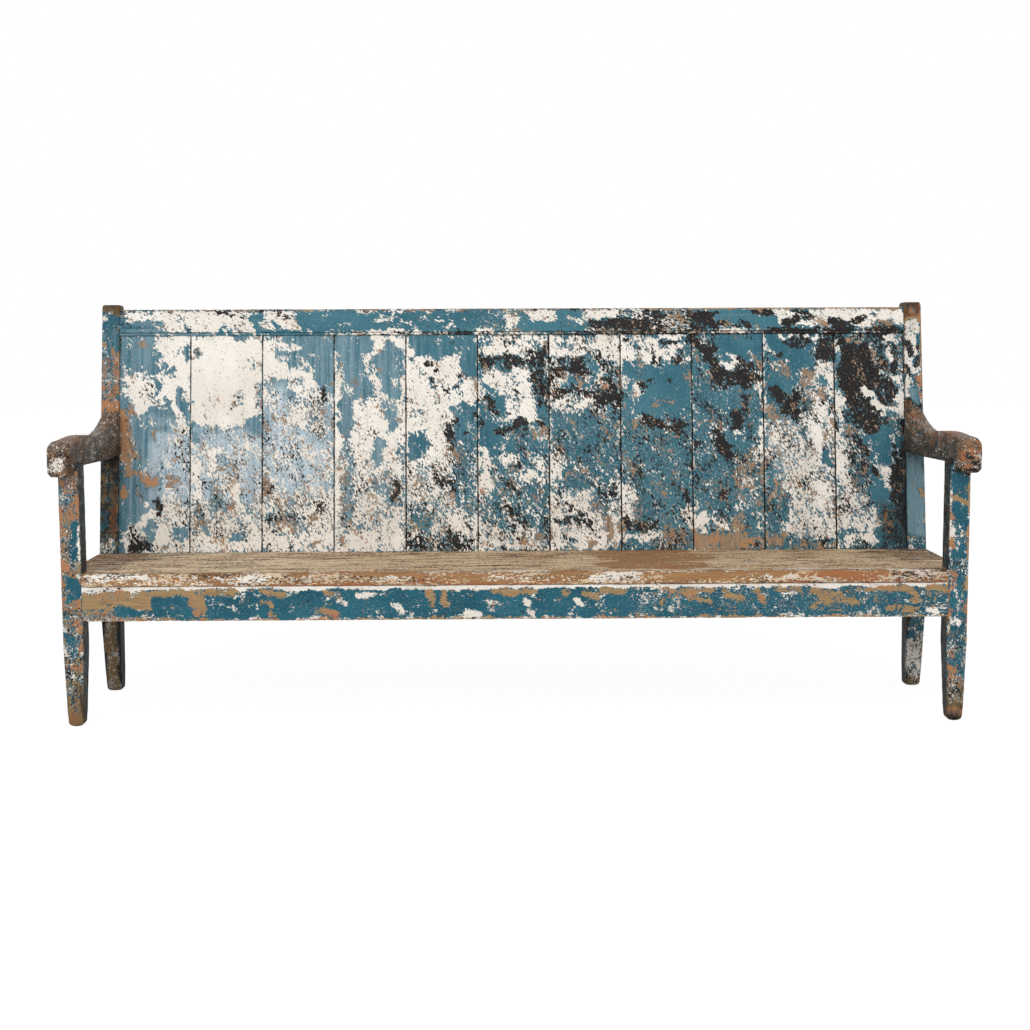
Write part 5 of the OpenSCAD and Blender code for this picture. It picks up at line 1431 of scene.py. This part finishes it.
def rods(ends, radius, sides, seed):
    """Round rods between pairs of points: the circle p = start + f (end - start) + r (u cos t +
    v sin t), narrowed at each end."""
    surfaces = []
    t = np.arange(sides) / sides * 2 * math.pi
    f = np.array([0, 0.03, 0.5, 0.97, 1])[:, None]
    slim = np.array([0.82, 1, 1, 1, 0.82])[:, None] * 0.97
    for number, (start, end) in enumerate(ends):
        start, end = np.array(start), np.array(end)
        along = (end - start) / np.linalg.norm(end - start)
        u = np.cross(along, (0, 0, 1) if abs(along[2]) < 0.9 else (1, 0, 0))
        u /= np.linalg.norm(u)
        v = np.cross(along, u)
        r = radius * slim
        ring = u * np.cos(t)[:, None] + v * np.sin(t)[:, None]
        points = start + (end - start) * f[..., None] + ring[None] * r[..., None]
        local = grained(seed + number, r * np.cos(t), r * np.sin(t), f * np.linalg.norm(end - start))
        surfaces.append((points, local, coated("B", points.shape[:2])))
    return surfaces


def mirrored(ends):
    """The same rods again on the other side of the bench."""
    flip = np.array((-1.0, 1.0, 1.0))
    return ends + [(np.array(start) * flip, np.array(end) * flip) for start, end in ends]


def peg_sets():
    """The ends of every peg by node: each lies a peg's radius inside its group's box, and stops just
    under the paint."""
    cover = np.array((PEG_DEPTH, 0, 0))
    sets = {}
    for node in ("apron_pegs", "rear_rail_pegs"):
        low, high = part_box(node)
        sets[node] = [((high.x - PEG_R, low.y + PEG_DEPTH, z), (high.x - PEG_R, high.y - PEG_DEPTH, z))
                      for z in (low.z + PEG_R, high.z - PEG_R)]
    low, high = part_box("side_rail_pegs")
    sets["side_rail_pegs"] = [
        (np.array((POST_IN + SHOULDER, y, z)), np.array((out, y, z)) - cover)
        for y, out in ((low.y + PEG_R, LEG_OUT), (high.y - PEG_R, POST_OUT))
        for z in (low.z + PEG_R, high.z - PEG_R)]
    low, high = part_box("arm_pegs")
    sets["arm_pegs"] = [
        (np.array((ARM_IN + SHOULDER, y, z)), np.array((out, y, z)) - cover * 2)
        for y, z, out in (
            (low.y + PEG_R, low.z + PEG_R, ARM_OUT), (high.y - PEG_R, high.z - PEG_R, POST_OUT))]
    low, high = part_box("top_rail_pegs")
    up = BACK_H + (HOUSING_D + RAIL_H) / 2
    sets["top_rail_pegs"] = [tuple(lean(high.x - PEG_R, w, up) for w in (PEG_DEPTH, 28 * MM))]
    return sets


def nail_sets():
    """The ends of every seat nail: seven in a row over each long rail, two over each bearer and side
    rail."""
    low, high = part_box("seat_nails")
    places = [(x, y) for x in np.linspace(low.x + NAIL_ROW_IN, high.x - NAIL_ROW_IN, 7)
              for y in (low.y + NAIL_HEAD_R, high.y - NAIL_HEAD_R)]
    places += [(x, FRONT + y) for x in (low.x + NAIL_HEAD_R, -BEARER_X, 0, BEARER_X, high.x - NAIL_HEAD_R)
               for y in BEARER_NAILS]
    head = SEAT_TOP - NAIL_SUNK
    shanks = [((x, y, low.z), (x, y, head - NAIL_HEAD_T)) for x, y in places]
    heads = [((x, y, head - NAIL_HEAD_T), (x, y, head)) for x, y in places]
    return shanks, heads


class SETTLE_OT_back_boards(bpy.types.Operator):
    """Makes the eleven tongued back boards in flaking blue paint"""

    bl_idname = "settle.back_boards"
    bl_label = "Back boards"

    def execute(self, context):
        material = back_paint()
        for number in range(1, BOARD_COUNT + 1):
            board(number, material)
        return {"FINISHED"}


class SETTLE_OT_top_rail(bpy.types.Operator):
    """Makes the beaded top rail"""

    bl_idname = "settle.top_rail"
    bl_label = "Top rail"

    def execute(self, context):
        top_rail(back_paint())
        return {"FINISHED"}


class SETTLE_OT_seat(bpy.types.Operator):
    """Makes the two scrubbed seat planks"""

    bl_idname = "settle.seat"
    bl_label = "Seat planks"

    def execute(self, context):
        seat(seat_wood())
        return {"FINISHED"}


class SETTLE_OT_legs(bpy.types.Operator):
    """Makes the front legs, the rear posts and the apron"""

    bl_idname = "settle.legs"
    bl_label = "Legs, posts and apron"

    def execute(self, context):
        material = frame_paint()
        for side in (-1, 1):
            front_leg(side, material)
            rear_post(side, material)
        apron(material)
        return {"FINISHED"}


class SETTLE_OT_arms(bpy.types.Operator):
    """Makes the two shaped arms"""

    bl_idname = "settle.arms"
    bl_label = "Arms"

    def execute(self, context):
        material = arm_wood()
        for side in (-1, 1):
            arm(side, material)
        return {"FINISHED"}


class SETTLE_OT_hidden_rails(bpy.types.Operator):
    """Makes the rear rail, the side rails and the bearers under the seat"""

    bl_idname = "settle.hidden_rails"
    bl_label = "Rails and bearers"

    def execute(self, context):
        materials = {"inner_pine": rail_wood(), "frame_paint": frame_paint()}
        for name, axis, length, seed, slot in SAWN_RAILS:
            sawn_rail(name, axis, length, seed, materials[slot])
        return {"FINISHED"}


class SETTLE_OT_pegs_and_nails(bpy.types.Operator):
    """Makes the pegs of the joints and the nails of the seat, which end just under the paint"""

    bl_idname = "settle.pegs_and_nails"
    bl_label = "Pegs and nails"

    def execute(self, context):
        oak = peg_wood()
        for number, (node, ends) in enumerate(peg_sets().items()):
            surfaces = rods(mirrored(ends), PEG_R, sides=10, seed=PEG_SEED + 20 * number)
            shell(node + "_riven", surfaces, oak, [node])
        shanks, heads = nail_sets()
        surfaces = rods(shanks, NAIL_R, sides=8, seed=NAIL_SEED)
        surfaces += rods(heads, NAIL_HEAD_R, sides=12, seed=NAIL_SEED + 100)
        shell("seat_nails_forged", surfaces, nail_iron(), ["seat_nails"])
        return {"FINISHED"}


class SETTLE_OT_stage(bpy.types.Operator):
    """Makes the white floor, the soft light and the camera"""

    bl_idname = "settle.stage"
    bl_label = "Stage and camera"

    def execute(self, context):
        even_light(context.scene)
        pale_floor(context.scene)
        soft_lamps(context.scene)
        photo_camera(context.scene)
        context.scene.view_settings.view_transform = "Standard"
        return {"FINISHED"}


class SETTLE_PT_panel(bpy.types.Panel):
    """Lists the steps that build the settle"""

    bl_idname = "SETTLE_PT_panel"
    bl_label = "High-back settle"
    bl_space_type = "VIEW_3D"
    bl_region_type = "UI"
    bl_category = "Settle"

    def draw(self, context):
        column = self.layout.column()
        for step in STEPS:
            column.operator(step.bl_idname)
        for key in SettleSizes.__annotations__:
            column.prop(context.scene.settle, key)
        for name, finish_class in FINISHES.items():
            finish = getattr(context.scene.settle_finishes, name)
            column.label(text=finish_class.__name__)
            for key in finish_class.__annotations__:
                column.prop(finish, key)


STEPS = (
    SETTLE_OT_back_boards, SETTLE_OT_top_rail, SETTLE_OT_seat, SETTLE_OT_legs, SETTLE_OT_arms,
    SETTLE_OT_hidden_rails, SETTLE_OT_pegs_and_nails, SETTLE_OT_stage,
)
FINISHES = {
    "back": BackPaint, "frame": FramePaint, "seat": SeatWood, "arms": ArmWood, "rails": RailWood,
    "pegs": PegWood,
}
CLASSES = tuple(FINISHES.values()) + (SettleFinishes, SettleSizes) + STEPS + (SETTLE_PT_panel,)

# The camera, solved from the photographed outline: metres, radians, and pixels of the 1030 square
CAMERA_X = -0.0499
CAMERA_AHEAD = 3.930944
CAMERA_Z = 0.93356
CAMERA_YAW = 0.0119741
CAMERA_PITCH = 0.0969230
CAMERA_ROLL = -0.0041383
FOCAL_PIXELS = 1525.7395
PHOTO_PIXELS = 1030
SENSOR = 36.0

# Two soft square lamps: name, place and share of the power, then their side and the point they face
LAMPS = (("key_lamp", (-1.6, -4.2, 3.4), 1.0), ("fill_lamp", (2.6, -4.6, 2.2), 0.45))
LAMP_SIZE = 3.2
LAMP_AIM = (0, 0, 0.6)


def even_light(scene):
    """The world: even grey light on the bench, and plain white to the camera and in reflections."""
    world = bpy.data.worlds.new("even_light")
    scene.world = world
    world.use_nodes = True
    tree = world.node_tree
    tree.nodes.clear()
    path = add(tree, "ShaderNodeLightPath", {}, {})
    seen = add(tree, "ShaderNodeMath", {"operation": "MAXIMUM"}, {
        0: path.outputs["Is Camera Ray"], 1: path.outputs["Is Transmission Ray"]})
    seen = add(tree, "ShaderNodeMath", {"operation": "MAXIMUM"}, {
        0: seen.outputs[0], 1: path.outputs["Is Glossy Ray"]})
    strength = add(tree, "ShaderNodeMapRange", {}, {
        0: seen.outputs[0], 1: 0.0, 2: 1.0, 3: scene.settle.sky_strength, 4: 1.0})
    sky = add(tree, "ShaderNodeBackground", {}, {"Color": (1, 1, 1, 1), "Strength": strength.outputs[0]})
    add(tree, "ShaderNodeOutputWorld", {}, {0: sky.outputs[0]})


def pale_floor(scene):
    """A matt pale floor that keeps the bench's shadow and glows a little to the camera, so that it
    fades to white."""
    half = scene.settle.floor_size / 2
    mesh = bpy.data.meshes.new("floor")
    corners = [(-half, -half, 0), (half, -half, 0), (half, half, 0), (-half, half, 0)]
    mesh.from_pydata(corners, [], [(0, 1, 2, 3)])
    floor = bpy.data.objects.new("floor", mesh)
    scene.collection.objects.link(floor)
    material = bpy.data.materials.new("white_studio_floor")
    material.use_nodes = True
    tree = material.node_tree
    tree.nodes.clear()
    path = add(tree, "ShaderNodeLightPath", {}, {})
    seen = add(tree, "ShaderNodeMath", {"operation": "MULTIPLY"}, {0: path.outputs["Is Camera Ray"], 1: 0.75})
    paper = add(tree, "ShaderNodeBsdfDiffuse", {}, {"Color": tuple(scene.settle.floor_colour)})
    glow = add(tree, "ShaderNodeEmission", {}, {"Color": (1, 1, 1, 1), "Strength": 1.2})
    both = add(tree, "ShaderNodeMixShader", {}, {0: seen.outputs[0], 1: paper.outputs[0], 2: glow.outputs[0]})
    add(tree, "ShaderNodeOutputMaterial", {}, {0: both.outputs[0]})
    mesh.materials.append(material)


def soft_lamps(scene):
    """Two large soft lamps in front of the bench."""
    for name, place, share in LAMPS:
        light = bpy.data.lights.new(name, "AREA")
        light.energy = scene.settle.lamp_power * share
        light.shape = "SQUARE"
        light.size = LAMP_SIZE
        lamp = bpy.data.objects.new(name, light)
        lamp.location = place
        lamp.rotation_euler = (Vector(LAMP_AIM) - Vector(place)).to_track_quat("-Z", "Y").to_euler()
        scene.collection.objects.link(lamp)


def photo_camera(scene):
    """The camera where the photograph was taken: its axes are turned by yaw, then pitch, then roll."""
    camera_data = bpy.data.cameras.new("camera")
    camera_data.sensor_width = SENSOR
    camera_data.lens = FOCAL_PIXELS * SENSOR / PHOTO_PIXELS
    camera_data.clip_end = 200
    camera = bpy.data.objects.new("camera", camera_data)
    scene.collection.objects.link(camera)
    sy, cy = math.sin(CAMERA_YAW), math.cos(CAMERA_YAW)
    sp, cp = math.sin(CAMERA_PITCH), math.cos(CAMERA_PITCH)
    ahead = Vector((sy * cp, cy * cp, -sp))
    up = Vector((sy * sp, cy * sp, cp))
    right = Vector((cy, -sy, 0))
    turned_right = right * math.cos(CAMERA_ROLL) + up * math.sin(CAMERA_ROLL)
    turned_up = up * math.cos(CAMERA_ROLL) - right * math.sin(CAMERA_ROLL)
    basis = Matrix((turned_right, turned_up, -ahead)).transposed().to_4x4()
    camera.matrix_world = Matrix.Translation((CAMERA_X, FRONT - CAMERA_AHEAD, CAMERA_Z)) @ basis
    scene.camera = camera


def register():
    for item in CLASSES:
        bpy.utils.register_class(item)
    bpy.types.Scene.settle = bpy.props.PointerProperty(type=SettleSizes)
    bpy.types.Scene.settle_finishes = bpy.props.PointerProperty(type=SettleFinishes)


def unregister():
    del bpy.types.Scene.settle_finishes
    del bpy.types.Scene.settle
    for item in reversed(CLASSES):
        bpy.utils.unregister_class(item)


def main():
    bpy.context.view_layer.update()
    register()
    bpy.ops.settle.back_boards()
    bpy.ops.settle.top_rail()
    bpy.ops.settle.seat()
    bpy.ops.settle.legs()
    bpy.ops.settle.arms()
    bpy.ops.settle.hidden_rails()
    bpy.ops.settle.pegs_and_nails()
    bpy.ops.settle.stage()


if __name__ == "__main__":
    main()
